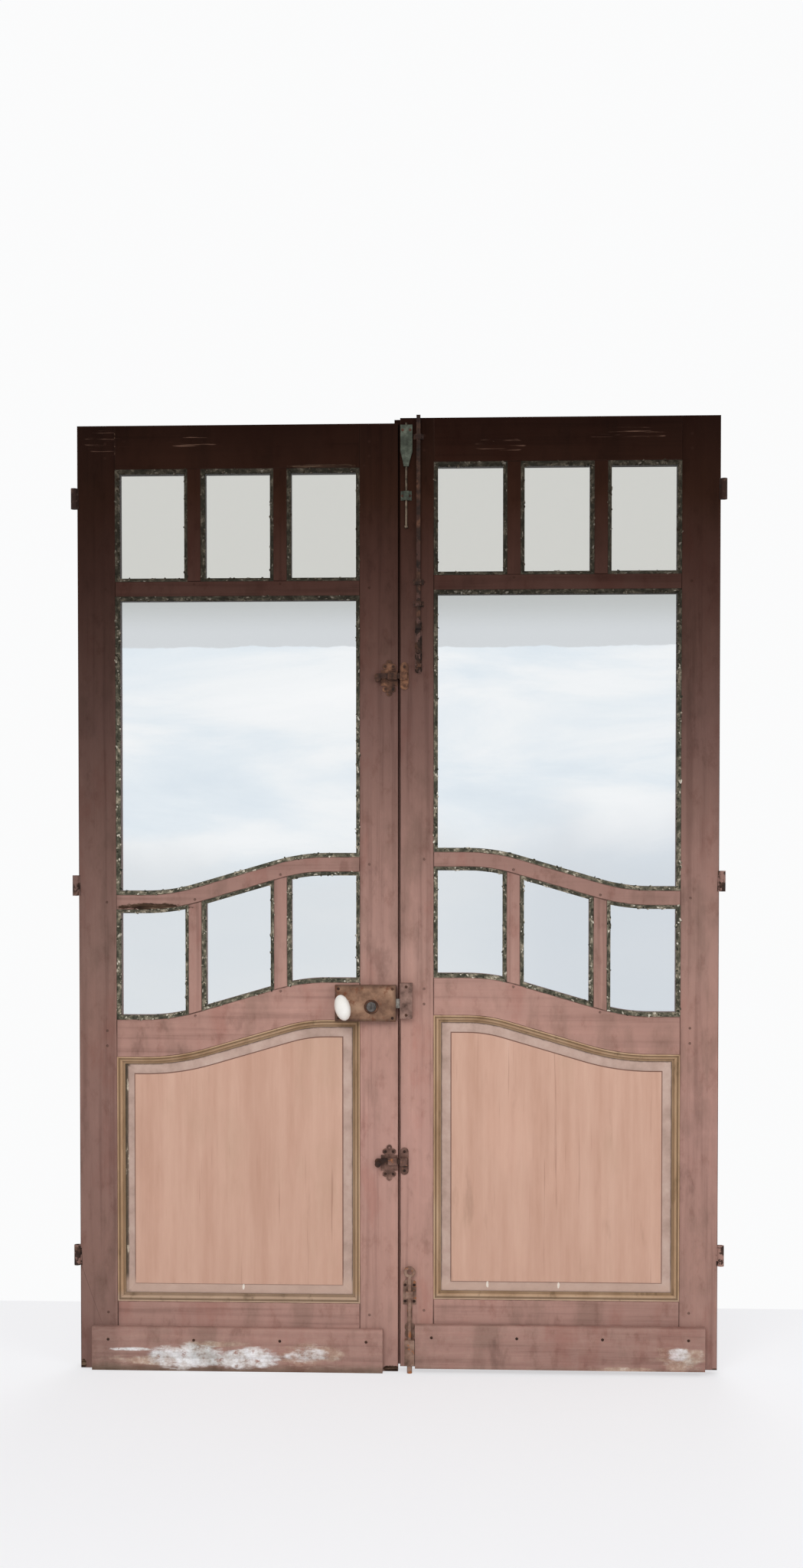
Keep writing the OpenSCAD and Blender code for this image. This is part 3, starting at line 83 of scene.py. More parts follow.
class Finish(Nodes):
    """A node material, built one node at a time; each method returns the new node's output."""

    def __init__(self, name):
        self.material = bpy.data.materials.new(name)
        self.material.use_nodes = True
        self.tree = self.material.node_tree
        self.tree.nodes.clear()
        self.output = self.tree.nodes.new("ShaderNodeOutputMaterial")
        self.surface = self.tree.nodes.new("ShaderNodeBsdfPrincipled")
        self.tree.links.new(self.surface.outputs[0], self.output.inputs["Surface"])
        self.where = self.tree.nodes.new("ShaderNodeTexCoord").outputs["Object"]

    def axis(self, letter):
        """One coordinate of the point, in metres."""
        node = self.tree.nodes.new("ShaderNodeSeparateXYZ")
        self.feed(node.inputs[0], self.where)
        return node.outputs[letter]

    def maths(self, operation, a, b=0.0):
        node = self.tree.nodes.new("ShaderNodeMath")
        node.operation = operation
        self.feed(node.inputs[0], a)
        self.feed(node.inputs[1], b)
        return node.outputs[0]

    def times(self, a, b):
        return self.maths("MULTIPLY", a, b)

    def plus(self, a, b):
        return self.maths("ADD", a, b)

    def swing(self, pattern, amount):
        """A pattern from 0 to 1 as a value that swings evenly about 0."""
        return self.times(self.maths("SUBTRACT", pattern, 0.5), amount)

    def ease(self, value, low, high, start=0.0, end=1.0):
        """Goes smoothly from start to end as value goes from low to high."""
        node = self.tree.nodes.new("ShaderNodeMapRange")
        node.interpolation_type = "SMOOTHSTEP"
        for socket, number in zip(node.inputs, (value, low, high, start, end)):
            self.feed(socket, number)
        return node.outputs[0]

    def blend(self, share, a, b, way="MIX"):
        node = self.tree.nodes.new("ShaderNodeMix")
        node.data_type = "RGBA"
        node.blend_type = way
        self.feed(node.inputs[0], share)
        self.feed(node.inputs[6], a)
        self.feed(node.inputs[7], b)
        return node.outputs[2]

    def layers(self, colour, *layers, way="MIX"):
        """Lays tones over a colour, each where its pattern goes from low to high, up to a share."""
        for pattern, low, high, share, tone in layers:
            colour = self.blend(self.ease(pattern, low, high, 0.0, share), colour, tone, way)
        return colour

    def stretched(self, stretch, shift=(0, 0, 0)):
        node = self.tree.nodes.new("ShaderNodeMapping")
        self.feed(node.inputs["Vector"], self.where)
        node.inputs["Scale"].default_value = stretch
        node.inputs["Location"].default_value = shift
        return node.outputs[0]

    def grain(self, stretch, detail=4.0, rough=0.55, shift=(0, 0, 0), warp=0.0):
        """Cloudy noise from 0 to 1, with stretch cycles in a metre along x, y and z."""
        node = self.tree.nodes.new("ShaderNodeTexNoise")
        self.feed(node.inputs["Vector"], self.stretched(stretch, shift))
        node.inputs["Scale"].default_value = 1.0
        node.inputs["Detail"].default_value = detail
        node.inputs["Roughness"].default_value = rough
        node.inputs["Distortion"].default_value = warp
        return node.outputs[0]

    def cracks(self, stretch):
        """Distance to the nearest border in a net of cells."""
        node = self.tree.nodes.new("ShaderNodeTexVoronoi")
        node.feature = "DISTANCE_TO_EDGE"
        self.feed(node.inputs["Vector"], self.stretched(stretch))
        node.inputs["Scale"].default_value = 1.0
        return node.outputs["Distance"]

    def ramp(self, value, *stops):
        """Colours at values from 0 to 1; each stop is its value and a colour from 0 to 255."""
        node = self.tree.nodes.new("ShaderNodeValToRGB")
        self.feed(node.inputs[0], value)
        while len(node.color_ramp.elements) < len(stops):
            node.color_ramp.elements.new(0.5)
        for element, (position, colour) in zip(node.color_ramp.elements, stops):
            element.position = position
            element.color = paint(*colour)
        return node.outputs[0]

    def patches(self, places, ragged, amount=1.6, soft=0.22):
        """1 inside ragged patches, each given as middle x and z and half width and height."""
        x, z = self.axis("X"), self.axis("Z")
        edge = self.swing(ragged, amount)
        whole = 0.0
        for middle_x, middle_z, wide, high in places:
            across = self.maths("SUBTRACT", x, x_at(middle_x))
            across = self.maths("DIVIDE", across, wide / MM)
            up = self.maths("SUBTRACT", z, z_at(middle_z))
            up = self.maths("DIVIDE", up, high / MM)
            away = self.plus(self.times(across, across), self.times(up, up))
            inside = self.plus(self.maths("SUBTRACT", 1.0, away), edge)
            whole = self.maths("MAXIMUM", whole, self.ease(inside, 0.0, soft))
        return whole

    def bumps(self, height, depth, strength=1.0, under=None):
        node = self.tree.nodes.new("ShaderNodeBump")
        node.inputs["Strength"].default_value = strength
        node.inputs["Distance"].default_value = depth
        self.feed(node.inputs["Height"], height)
        if under is not None:
            self.feed(node.inputs["Normal"], under)
        return node.outputs[0]

    def finish(self, colour, rough, normal=None, metal=0.0, shine=0.5):
        self.surface.inputs["Specular IOR Level"].default_value = shine
        self.feed(self.surface.inputs["Base Color"], colour)
        self.feed(self.surface.inputs["Roughness"], rough)
        self.feed(self.surface.inputs["Metallic"], metal)
        if normal is not None:
            self.feed(self.surface.inputs["Normal"], normal)
        return self.material


# Height above the floor and the frame paint's colour there. The top is nearly black brown, partly
# painted shade from above, and the paint gets dustier and rosier downwards.
PAINT_AND_SHADE_BY_HEIGHT = [
    (40, (167, 132, 122)), (250, (174, 136, 124)), (560, (178, 139, 128)),
    (780, (174, 135, 123)), (960, (166, 131, 120)), (1130, (153, 119, 109)),
    (1305, (130, 100, 91)), (1480, (109, 82, 75)), (1655, (88, 64, 57)),
    (1835, (66, 44, 38)), (2010, (44, 25, 17)), (2190, (27, 12, 7)),
]
# How much gloss the old paint sends back: hardly any on the frame, a little more on the panels
FRAME_SHINE, PANEL_SHINE = 0.04, 0.10


def paint_and_shade_by_height(f):
    """Frame paint by height, cloudy between tones; painted shade darkens both sides and partly the
    top.
    """
    low, high = PAINT_AND_SHADE_BY_HEIGHT[0][0], PAINT_AND_SHADE_BY_HEIGHT[-1][0]
    z = f.plus(f.axis("Z"), (PART_ORIGIN[2] - low) / MM)
    z = f.plus(z, f.swing(f.grain((3.5, 3.5, 1.6), 5), 0.16))
    share = f.maths("DIVIDE", z, (high - low) / MM)
    colour = f.ramp(share, *(((h - low) / (high - low), tone) for h, tone in PAINT_AND_SHADE_BY_HEIGHT))
    # Painted shade: the hinge stile's outer edge and both sides of the pair are darkened.
    x = f.axis("X")
    edge = f.ease(x, x_at(-665), x_at(-640), 0.34, 0.0)
    left = f.ease(x, x_at(-740), x_at(-160), 0.14, 0.0)
    right = f.ease(x, x_at(180), x_at(735), 0.0, 0.17)
    return f.blend(f.plus(f.plus(edge, left), right), colour, paint(24, 12, 8))


def grimy_paint(f):
    """The frame paint with the dirt that gathers along its arrises and joints."""
    dirt = f.ease(f.grain((30, 30, 9), 4, 0.6, (4, 4, 8)), 0.35, 0.65, 0.30, 0.72)
    return f.blend(dirt, paint_and_shade_by_height(f), paint(44, 28, 22))


def chipped(f, colour, share):
    """Chips in the paint, down to dark wood and cream undercoat; share says how much is worn."""
    fine = f.grain((62, 62, 40), 6, 0.66, (3, 1, 7))
    worn = f.ease(fine, 0.77 - share, 0.80 - share)
    below = f.ramp(f.grain((30, 30, 18), 3, 0.5, (9, 4, 2)),
                   (0.42, (46, 32, 25)), (0.54, (100, 76, 58)), (0.64, (186, 164, 138)))
    # Higher up the chips go nearly black: partly painted shade, as at the top of the frame paint.
    high = f.ease(f.axis("Z"), z_at(900), z_at(1900), 0.0, 0.72)
    return f.blend(worn, colour, f.blend(high, below, paint(30, 18, 13))), worn


def at_front(f):
    """1 on the front half of the thickness, so that the back has marks of its own."""
    return f.ease(f.axis("Y"), 0.0200, 0.0180)


def along_grain(axis, lengthways, crossways):
    """The stretch of a pattern whose streaks run along X or Z."""
    if axis == "X":
        return (lengthways, crossways, crossways)
    return (crossways, crossways, lengthways)


# Places of marks: middle x, middle z, half width, half height
BARE_STRIPS = [
    (-564, 1074, 92, 9), (726, 8, 16, 9), (-18, 6, 20, 8), (-170, 2084, 86, 5), (-735, 10, 8, 12),
]
SCUFFS = [(-664, 2142, 62, 30), (-470, 2140, 60, 14), (520, 2150, 90, 18), (230, 2128, 60, 20)]


def old_paint(name, along, seed=0.0, wear=0.0, base=paint_and_shade_by_height):
    """Old oil paint on wood whose grain runs along one axis, X or Z."""
    f = Finish(name)
    shift = (seed * 3.1, seed * 1.7, seed * 5.3)
    streaks = f.grain(along_grain(along, 1.6, 62), 5, 0.6, shift)
    mottle = f.grain((26, 26, 15), 5, 0.66, (seed, 5, 2))
    tint = f.grain((9, 9, 3.4), 5, 0.62, (4 + seed, 0, 1))
    stains = f.grain((13, 13, 6), 5, 0.64, shift)
    colour = f.layers(
        base(f),
        (streaks, 0.50, 0.72, 0.16, (1.5, 1.45, 1.42, 1.0)),
        (streaks, 0.50, 0.30, 0.22, paint(96, 70, 62)),
        (mottle, 0.52, 0.70, 0.30, (1.22, 1.24, 1.24, 1.0)),
        (mottle, 0.48, 0.32, 0.34, paint(196, 178, 172)),
        (tint, 0.50, 0.66, 0.34, paint(168, 176, 168)),
        (tint, 0.48, 0.34, 0.30, paint(226, 184, 178)),
        (stains, 0.60, 0.74, 0.26, paint(70, 48, 40)),
        way="MULTIPLY",
    )
    front = at_front(f)
    scratches = f.ease(f.grain((7, 210, 210), 4, 0.6, (seed, 2, 3)), 0.55, 0.66, 0.0, 0.5)
    scuffed = f.times(f.times(f.patches(SCUFFS, stains, 1.2), scratches), front)
    colour = f.blend(scuffed, colour, paint(120, 92, 78))
    splintered = f.grain((46, 46, 90), 5, 0.66, (2, 8, 5))
    bare = f.times(f.patches(BARE_STRIPS, splintered, 2.6, 0.4), front)
    wood = f.ramp(f.grain((16, 150, 150), 4, 0.6),
                  (0.38, (40, 29, 23)), (0.54, (72, 54, 43)), (0.70, (142, 120, 100)))
    # Bare wood darkens higher up: partly painted shade, as at the top of the frame paint.
    wood = f.layers(wood, (f.axis("Z"), z_at(1300), z_at(1900), 0.6, paint(34, 20, 14)))
    colour = f.blend(bare, colour, wood)
    colour, worn = chipped(f, colour, wear)
    worn = f.maths("MAXIMUM", worn, bare)
    strokes = f.bumps(f.grain(along_grain(along, 5, 190), 3, 0.5, shift), 0.0003, 0.5)
    grooves = f.bumps(streaks, 0.0012, 0.5, strokes)
    normal = f.bumps(worn, -0.0006, 0.8, grooves)
    return f.finish(colour, f.plus(0.60, f.swing(stains, 0.35)), normal, shine=FRAME_SHINE)


PANEL_CHIPS = [(-362, 190, 3, 9), (204, 202, 3, 10), (368, 202, 3, 8)]
# Depths behind the front face at which one part of the panel gives way to the next
FIELD_TO_MARGIN = (0.0084, 0.0090)
LINE_BEGINS, LINE_ENDS = (0.0082, 0.0088), (0.01058, 0.01036)
# Depths over which the margin's rim, under the moulding, gets painted shadow
RIM_SHADOW, LEFT_RIM_SHADE = (0.0142, 0.0149), (0.0130, 0.0140)
PANEL_BACK = (0.0165, 0.0175)


def panel_paint():
    """Salmon field with upright brush streaks, and a grey lilac margin behind a fine dark line."""
    f = Finish("salmon_panel_paint")
    long_streaks = f.grain((30, 30, 1.1), 5, 0.62)
    short_streaks = f.grain((40, 40, 6.5), 5, 0.64, (1, 1, 4))
    streaks = f.blend(0.38, long_streaks, short_streaks)
    broad = f.grain((7, 7, 0.9), 4, 0.55, (2, 0, 1))
    cloud = f.grain((5, 5, 2.2), 5, 0.6, (8, 1, 3))
    smudges = f.grain((15, 15, 3.2), 5, 0.62, (3, 7, 9))
    drips = f.grain((110, 110, 3), 3, 0.5, (5, 5, 5))
    field = f.ramp(streaks, (0.28, (184, 144, 124)), (0.46, (195, 156, 137)),
                   (0.58, (201, 163, 144)), (0.78, (208, 172, 155)))
    field = f.layers(
        field,
        (broad, 0.54, 0.76, 0.34, paint(172, 132, 112)),
        (cloud, 0.52, 0.70, 0.40, paint(182, 150, 128)),
        (cloud, 0.46, 0.30, 0.25, paint(212, 170, 150)),
        (smudges, 0.60, 0.74, 0.45, paint(158, 124, 106)),
        (drips, 0.64, 0.74, 0.40, paint(140, 98, 82)),
    )
    margin = f.ramp(f.grain((22, 22, 22), 5, 0.6),
                    (0.30, (166, 142, 130)), (0.5, (184, 158, 146)), (0.70, (196, 172, 160)))
    deep = f.axis("Y")
    on_margin = f.ease(deep, *FIELD_TO_MARGIN)
    colour = f.blend(on_margin, field, margin)
    line = f.times(f.ease(deep, *LINE_BEGINS), f.ease(deep, *LINE_ENDS))
    colour = f.blend(f.times(line, 0.85), colour, paint(112, 78, 66))
    ragged = f.grain((70, 70, 26), 5, 0.65, (6, 2, 5))
    outer = f.plus(deep, f.swing(ragged, 0.0012))
    # Painted shadow on the margin's rim where it runs under the moulding
    colour = f.layers(colour, (outer, *RIM_SHADOW, 0.62, paint(66, 54, 42)))
    # On the far left the rim gets darker painted shade, from the moulding's shaded wall, and cream
    # chips
    grime = f.ramp(ragged, (0.36, (48, 44, 36)), (0.56, (84, 74, 60)), (0.66, (206, 192, 172)))
    shaded_side = f.ease(f.axis("X"), x_at(-622), x_at(-632))
    shaded_rim = f.ease(outer, *LEFT_RIM_SHADE, 0.0, 0.9)
    colour = f.blend(f.times(shaded_side, shaded_rim), colour, grime)
    bottom = f.ease(f.axis("Z"), z_at(222), z_at(196), 0.0, 0.6)
    colour = f.blend(f.times(bottom, on_margin), colour, paint(200, 172, 156))
    faded = f.ease(f.grain((8, 8, 1.2), 5, 0.6), 0.35, 0.65)
    back = f.blend(faded, paint(150, 114, 102), paint(168, 134, 120))
    colour = f.blend(f.ease(deep, *PANEL_BACK), colour, back)
    colour, worn = chipped(f, colour, 0.030)
    flaked = f.patches(PANEL_CHIPS, f.grain((160, 160, 90), 3, 0.5), 2.4, 0.5)
    flaked = f.times(flaked, at_front(f))
    colour = f.blend(flaked, colour, paint(232, 222, 210))
    chips = f.bumps(f.maths("MAXIMUM", worn, flaked), -0.0005, 0.7)
    normal = f.bumps(streaks, 0.0006, 0.45, chips)
    return f.finish(colour, f.ease(streaks, 0.3, 0.7, 0.56, 0.68), normal, shine=PANEL_SHINE)


# Depths between which the moulding's painted shadows come and go: the quirk behind its fillet, the
# foot of its hollow, and the gap against the panel
QUIRK_BEGINS, QUIRK_ENDS = (0.0019, 0.0024), (0.0052, 0.0040)
HOLLOW_FOOT, PANEL_JOINT = (0.0118, 0.0124), (0.0130, 0.0156)


def moulding_paint():
    """Olive gold paint, greyer towards the floor, with painted shade in its hollows."""
    f = Finish("olive_moulding_paint")
    cloud = f.grain((14, 14, 5), 5, 0.6)
    gold = f.ramp(cloud, (0.3, (152, 122, 92)), (0.5, (180, 148, 118)), (0.72, (196, 166, 136)))
    deep = f.axis("Y")
    quirk = f.times(f.ease(deep, *QUIRK_BEGINS), f.ease(deep, *QUIRK_ENDS))
    grime = f.grain((40, 40, 12), 5, 0.6, (3, 3, 3))
    colour = f.layers(gold, (f.axis("Z"), z_at(186), z_at(166), 0.60, paint(182, 158, 140)))
    # Painted shade in the quirk, at the hollow's foot and in the gap by the panel; the grime is
    # dirt.
    colour = f.blend(f.times(quirk, 0.62), colour, paint(80, 60, 38))
    colour = f.layers(
        colour,
        (deep, *HOLLOW_FOOT, 0.42, paint(70, 56, 38)),
        (deep, *PANEL_JOINT, 0.62, paint(48, 40, 27)),
        (grime, 0.56, 0.72, 0.45, paint(84, 66, 46)),
    )
    colour, worn = chipped(f, colour, 0.045)
    normal = f.bumps(worn, -0.0005, 0.7, f.bumps(cloud, 0.001, 0.3))
    return f.finish(colour, 0.58, normal, shine=PANEL_SHINE)


WHITE_PATCHES = [
    (-485, 35, 104, 33), (-352, 31, 84, 28), (-420, 26, 60, 16), (-622, 50, 50, 5),
    (-212, 40, 56, 20), (640, 52, 30, 18),
]
BEIGE_PATCHES = [
    (-205, 38, 92, 30), (-570, 24, 120, 14), (640, 40, 64, 34), (-420, 64, 90, 9),
    (520, 14, 90, 8),
]


def board_paint(name, wear, rubbed):
    """Kick board paint: rose over white filler that boots have bared; rubbed shows more wood."""
    def base(f):
        rose = f.blend(0.45, paint_and_shade_by_height(f), paint(155, 121, 111))
        ragged = f.grain((15, 15, 34), 6, 0.66, (1, 2, 3))
        streaky = f.grain((20, 20, 90), 5, 0.7, (6, 1, 3))
        mixed = f.blend(0.45, ragged, streaky)
        filler = f.ramp(f.grain((34, 34, 46), 6, 0.68, (4, 4, 2)),
                        (0.34, (150, 124, 112)), (0.46, (206, 200, 196)),
                        (0.60, (234, 234, 236)), (0.76, (246, 244, 242)))
        beige = f.ramp(f.grain((30, 30, 40), 6, 0.68, (7, 4, 2)),
                       (0.34, (150, 118, 104)), (0.52, (184, 160, 142)), (0.68, (222, 212, 200)))
        low = f.plus(f.axis("Z"), f.times(ragged, 0.02))
        colour = f.layers(rose, (low, z_at(34), z_at(12), 0.75, paint(98, 84, 70)))
        stained = f.times(f.patches(BEIGE_PATCHES, mixed, 4.2, 0.8), 0.85)
        colour = f.blend(stained, colour, beige)
        left = f.ease(f.grain((46, 46, 60), 5, 0.7, (8, 3, 3)), 0.30, 0.46)
        bared = f.times(f.patches(WHITE_PATCHES, mixed, 3.8, 0.7), left)
        colour = f.blend(bared, colour, filler)
        return f.layers(colour, (streaky, 0.42, 0.60, rubbed, paint(186, 162, 146)))
    return old_paint(name, "X", 4.0, wear, base)


def window_glass():
    """Old drawn glass, dusty, with painted reflections: grey in the top lights, faint blue clouds
    below.
    """
    f = Finish("old_window_glass")
    # Painted reflections: blue sky and clouds, darker low down and to the right,
    clouds = f.grain((1.5, 1.5, 5.2), 6, 0.52, (4, 0, 2), 0.5)
    dust_and_reflection = f.ramp(clouds, (0.30, (218, 229, 238)), (0.46, (230, 238, 244)),
                  (0.58, (243, 246, 248)), (0.74, (250, 251, 252)))
    z = f.axis("Z")
    wavy = f.plus(z, f.times(f.grain((11, 11, 2), 3, 0.55), 0.022))
    drifting = f.plus(z, f.times(f.grain((2.4, 2.4, 2), 3, 0.5, (6, 2, 2)), 0.30))
    # then a grey eave across the large light's top and over the top lights.
    dust_and_reflection = f.layers(dust_and_reflection, (drifting, z_at(1420), z_at(1260), 0.85, paint(219, 224, 228)))
    right = f.ease(f.axis("X"), x_at(80), x_at(420), 0.0, 0.55)
    low = f.ease(drifting, z_at(1560), z_at(1340))
    dust_and_reflection = f.blend(f.times(right, low), dust_and_reflection, paint(206, 213, 221))
    eave_band = f.ease(wavy, z_at(1682), z_at(1686))
    grey = f.ease(z, z_at(1700), z_at(1790))
    dust_and_reflection = f.blend(eave_band, dust_and_reflection, f.blend(grey, paint(212, 216, 219), paint(190, 193, 192)))
    dust_and_reflection = f.layers(dust_and_reflection, (z, z_at(1795), z_at(1825), 1.0, paint(209, 209, 204)))
    f.surface.inputs["Transmission Weight"].default_value = 1.0
    f.surface.inputs["IOR"].default_value = 1.45
    waves = f.bumps(f.grain((5, 5, 3), 2, 0.4), 0.002, 0.2)
    return f.finish(dust_and_reflection, 0.015, waves)


PUTTY_SHINE = 0.12


def old_putty():
    """Dried putty: dark green black paint that flakes off to cream."""
    f = Finish("old_putty")
    coat = f.grain((60, 60, 60), 6, 0.68)
    colour = f.ramp(coat, (0.30, (48, 48, 40)), (0.46, (80, 78, 66)), (0.56, (116, 110, 94)),
                    (0.64, (168, 156, 136)), (0.78, (204, 194, 174)))
    # Darker higher up: partly painted shade, as at the top of the frame paint.
    colour = f.layers(colour, (f.axis("Z"), z_at(1250), z_at(1900), 0.74, paint(24, 17, 12)))
    return f.finish(colour, 0.8, f.bumps(coat, 0.002, 0.8), shine=PUTTY_SHINE)


def putty_flakes():
    """Loose flakes on the putty: cream undersides and dark outsides, darker at the top."""
    f = Finish("putty_flakes")
    colour = f.ramp(f.grain((90, 90, 90), 2, 0.5, (5, 5, 5)),
                    (0.40, (52, 52, 44)), (0.50, (88, 84, 71)),
                    (0.57, (168, 158, 140)), (0.68, (216, 210, 196)))
    # Darker higher up: partly painted shade, as at the top of the frame paint.
    colour = f.layers(colour, (f.axis("Z"), z_at(1250), z_at(1950), 0.80, paint(40, 30, 22)))
    fine = f.grain((420, 420, 420), 3, 0.6)
    return f.finish(colour, 0.82, f.bumps(fine, 0.0004, 0.6), shine=PUTTY_SHINE)


def rusty(name, dark, mid, light, rough=0.72, painted=0.0, orange=0.0):
    """Rusty, pitted iron; painted keeps some of the doors' paint and orange adds fresh rust."""
    f = Finish(name)
    pits = f.grain((190, 190, 190), 6, 0.62)
    cloud = f.grain((42, 42, 42), 4, 0.6, (1, 5, 2))
    colour = f.ramp(cloud, (0.32, dark), (0.5, mid), (0.68, light))
    if orange:
        spots = f.grain((58, 58, 58), 5, 0.62, (3, 9, 4))
        fresh = paint(158, 100, 62)
        colour = f.layers(colour, (spots, 0.66 - orange, 0.74 - orange, 1.0, fresh))
    colour = f.layers(colour, (pits, 0.58, 0.74, 0.7, paint(*dark)))
    if painted:
        kept = f.ease(f.grain((55, 55, 55), 5, 0.6, (7, 7, 1)), 0.62 - painted, 0.68 - painted)
        colour = f.blend(kept, colour, paint_and_shade_by_height(f))
    return f.finish(colour, rough, f.bumps(pits, 0.0007, 0.9), metal=0.12, shine=0.3)


LOCK_MIDDLE = (-76.5, 854.5)


def lock_paint():
    """The lock's old varnish: tan and brown, with rust at its edges and a few pale spots."""
    f = Finish("tan_lock_varnish")
    colour = f.ramp(f.grain((24, 24, 24), 5, 0.6, (2, 2, 6)),
                    (0.30, (74, 50, 40)), (0.44, (112, 82, 64)),
                    (0.56, (142, 108, 86)), (0.70, (162, 130, 106)))
    rust = f.grain((40, 40, 40), 5, 0.62, (5, 1, 1))
    spots = f.grain((75, 75, 75), 4, 0.6, (8, 1, 4))
    colour = f.layers(
        colour,
        (rust, 0.54, 0.64, 0.75, paint(112, 62, 38)),
        (spots, 0.68, 0.74, 0.8, paint(196, 170, 146)),
    )
    across = f.maths("ABSOLUTE", f.maths("SUBTRACT", f.axis("X"), x_at(LOCK_MIDDLE[0])))
    up = f.maths("ABSOLUTE", f.maths("SUBTRACT", f.axis("Z"), z_at(LOCK_MIDDLE[1])))
    rim = f.maths("MAXIMUM", f.ease(across, 0.060, 0.070), f.ease(up, 0.032, 0.0415))
    colour = f.blend(f.times(rim, 0.62), colour, paint(58, 36, 27))
    pits = f.grain((210, 210, 210), 6, 0.6)
    return f.finish(colour, 0.55, f.bumps(pits, 0.0006, 0.8), metal=0.1, shine=0.35)


def porcelain():
    """Glazed white knobs with fine brown crazing."""
    f = Finish("white_porcelain")
    colour = f.ramp(f.grain((30, 30, 30), 3, 0.5), (0.35, (228, 224, 216)), (0.65, (240, 238, 233)))
    crazing = f.ease(f.cracks((260, 260, 260)), 0.0, 0.04, 0.08, 0.0)
    colour = f.blend(crazing, colour, paint(170, 150, 126))
    f.surface.inputs["Coat Weight"].default_value = 0.6
    f.surface.inputs["Coat Roughness"].default_value = 0.04
    return f.finish(colour, 0.14)


def worn_metal(name, dark, light, rough):
    """Bare metal, clouded, with fine upright scratches."""
    f = Finish(name)
    colour = f.ramp(f.grain((80, 80, 80), 5, 0.6), (0.35, dark), (0.62, light))
    scratches = f.grain((600, 600, 40), 3, 0.6)
    dulled = f.ease(scratches, 0.3, 0.7, rough - 0.1, rough + 0.12)
    return f.finish(colour, dulled, f.bumps(scratches, 0.0002, 0.5), metal=0.8)


def peg_ends():
    """Ends of the wooden pegs: end grain under paint, a little darker than the wood round them."""
    f = Finish("painted_peg_ends")
    rings = f.grain((420, 420, 420), 4, 0.6)
    colour = f.blend(f.ease(rings, 0.3, 0.7, 0.35, 0.75), paint_and_shade_by_height(f), paint(44, 28, 22))
    return f.finish(colour, 0.8, f.bumps(rings, 0.0004, 0.6), shine=FRAME_SHINE)


UPRIGHT = old_paint("upright_frame_paint", "Z", 1.0, 0.035)
LEVEL = old_paint("level_frame_paint", "X", 2.0, 0.035)
ARRIS = old_paint("worn_arris_paint", "Z", 3.0, 0.12, grimy_paint)
BOARD = board_paint("worn_kick_board_paint", 0.05, 0.10)
BOARD_ARRIS = board_paint("worn_board_arris_paint", 0.16, 0.75)
PANEL = panel_paint()
MOULDING = moulding_paint()
GLASS = window_glass()
PUTTY = old_putty()
FLAKES = putty_flakes()
PEG = peg_ends()
RUST = rusty("rusty_iron", (46, 30, 23), (86, 58, 44), (138, 98, 74))
DARK_IRON = rusty("dark_rusty_iron", (30, 20, 16), (58, 38, 30), (96, 66, 50), 0.66)
HINGE_IRON = rusty(
    "painted_hinge_iron", (30, 20, 17), (52, 36, 30), (92, 68, 56), painted=0.16)
ROD_IRON = rusty("painted_bolt_iron", (24, 15, 11), (44, 29, 22), (84, 56, 42), painted=0.10)
GREEN_IRON = rusty("grey_green_iron", (34, 36, 29), (60, 65, 55), (92, 97, 85), 0.6)
KEEPER_IRON = rusty(
    "mauve_brown_keeper_iron", (74, 54, 46), (126, 98, 88), (150, 120, 108), 0.6)
FOOT_IRON = rusty(
    "rusty_foot_bolt_iron", (86, 66, 55), (132, 103, 89), (158, 130, 114), 0.7, orange=0.07)
LOW_IRON = rusty(
    "rosy_rusty_iron", (62, 44, 37), (104, 76, 66), (136, 104, 92), 0.7, orange=0.05)
LOCK = lock_paint()
DULL_ROD = worn_metal("dull_rod_metal", (62, 54, 45), (124, 108, 92), 0.5)
STEEL = worn_metal("worn_bright_steel", (92, 84, 76), (168, 162, 154), 0.42)
PLUG = worn_metal("grey_plug_metal", (70, 66, 64), (118, 113, 110), 0.5)
BRASS = worn_metal("dull_brass", (88, 68, 44), (150, 124, 86), 0.40)
PORCELAIN = porcelain()

FRAME_FINISH = {
    "hinge_stile": UPRIGHT, "meeting_stile": UPRIGHT, "mullions": UPRIGHT,
    "top_rail": LEVEL, "light_rail": LEVEL, "curved_bar": LEVEL, "lock_rail": LEVEL,
    "bottom_rail": LEVEL, "kick_board": BOARD,
}
KEPT_FINISH = {
    "panel": PANEL, "panel_moulding": MOULDING, "large_pane": GLASS, "small_panes": GLASS,
    "putty": PUTTY, "pegs": PEG, "hinge_straps": HINGE_IRON,
}
HARDWARE_FINISH = {
    "lock_case": LOCK, "lock_back_plate": RUST, "latch_bolt": STEEL, "lock_follower": DARK_IRON,
    "knob_spindle": BRASS, "front_knob": PORCELAIN, "back_knob": PORCELAIN, "back_collar": BRASS,
    "back_rose": BRASS, "key_rose": RUST, "key_plug": PLUG, "lock_keeper": KEEPER_IRON,
    "upper_bolt_plate": RUST, "upper_bolt_bar": DARK_IRON, "upper_bolt_keeper": RUST,
    "lower_bolt_plate": LOW_IRON, "lower_bolt_bar": DARK_IRON, "lower_bolt_keeper": LOW_IRON,
    "top_bolt_guides": ROD_IRON, "top_bolt": ROD_IRON, "top_latch_guides": GREEN_IRON,
    "top_latch_rod": DULL_ROD, "bottom_bolt_plate": FOOT_IRON, "bottom_bolt": FOOT_IRON,
    "left_screws": DARK_IRON, "right_screws": DARK_IRON,
}
BODY_OF_SIDE = {"left": "active_leaf", "right": "dormant_leaf"}

# For work on meshes, in metres and radians
WELD = 2e-5
FLAT_ANGLE = 0.004
SHARP_ANGLE = 0.6
ARRIS_WIDTH = 0.0015
SHORTEST_ARRIS = 0.004


def give(thing, *finishes):
    """Gives a piece these finishes and no others."""
    thing.data.materials.clear()
    for finish in finishes:
        thing.data.materials.append(finish)


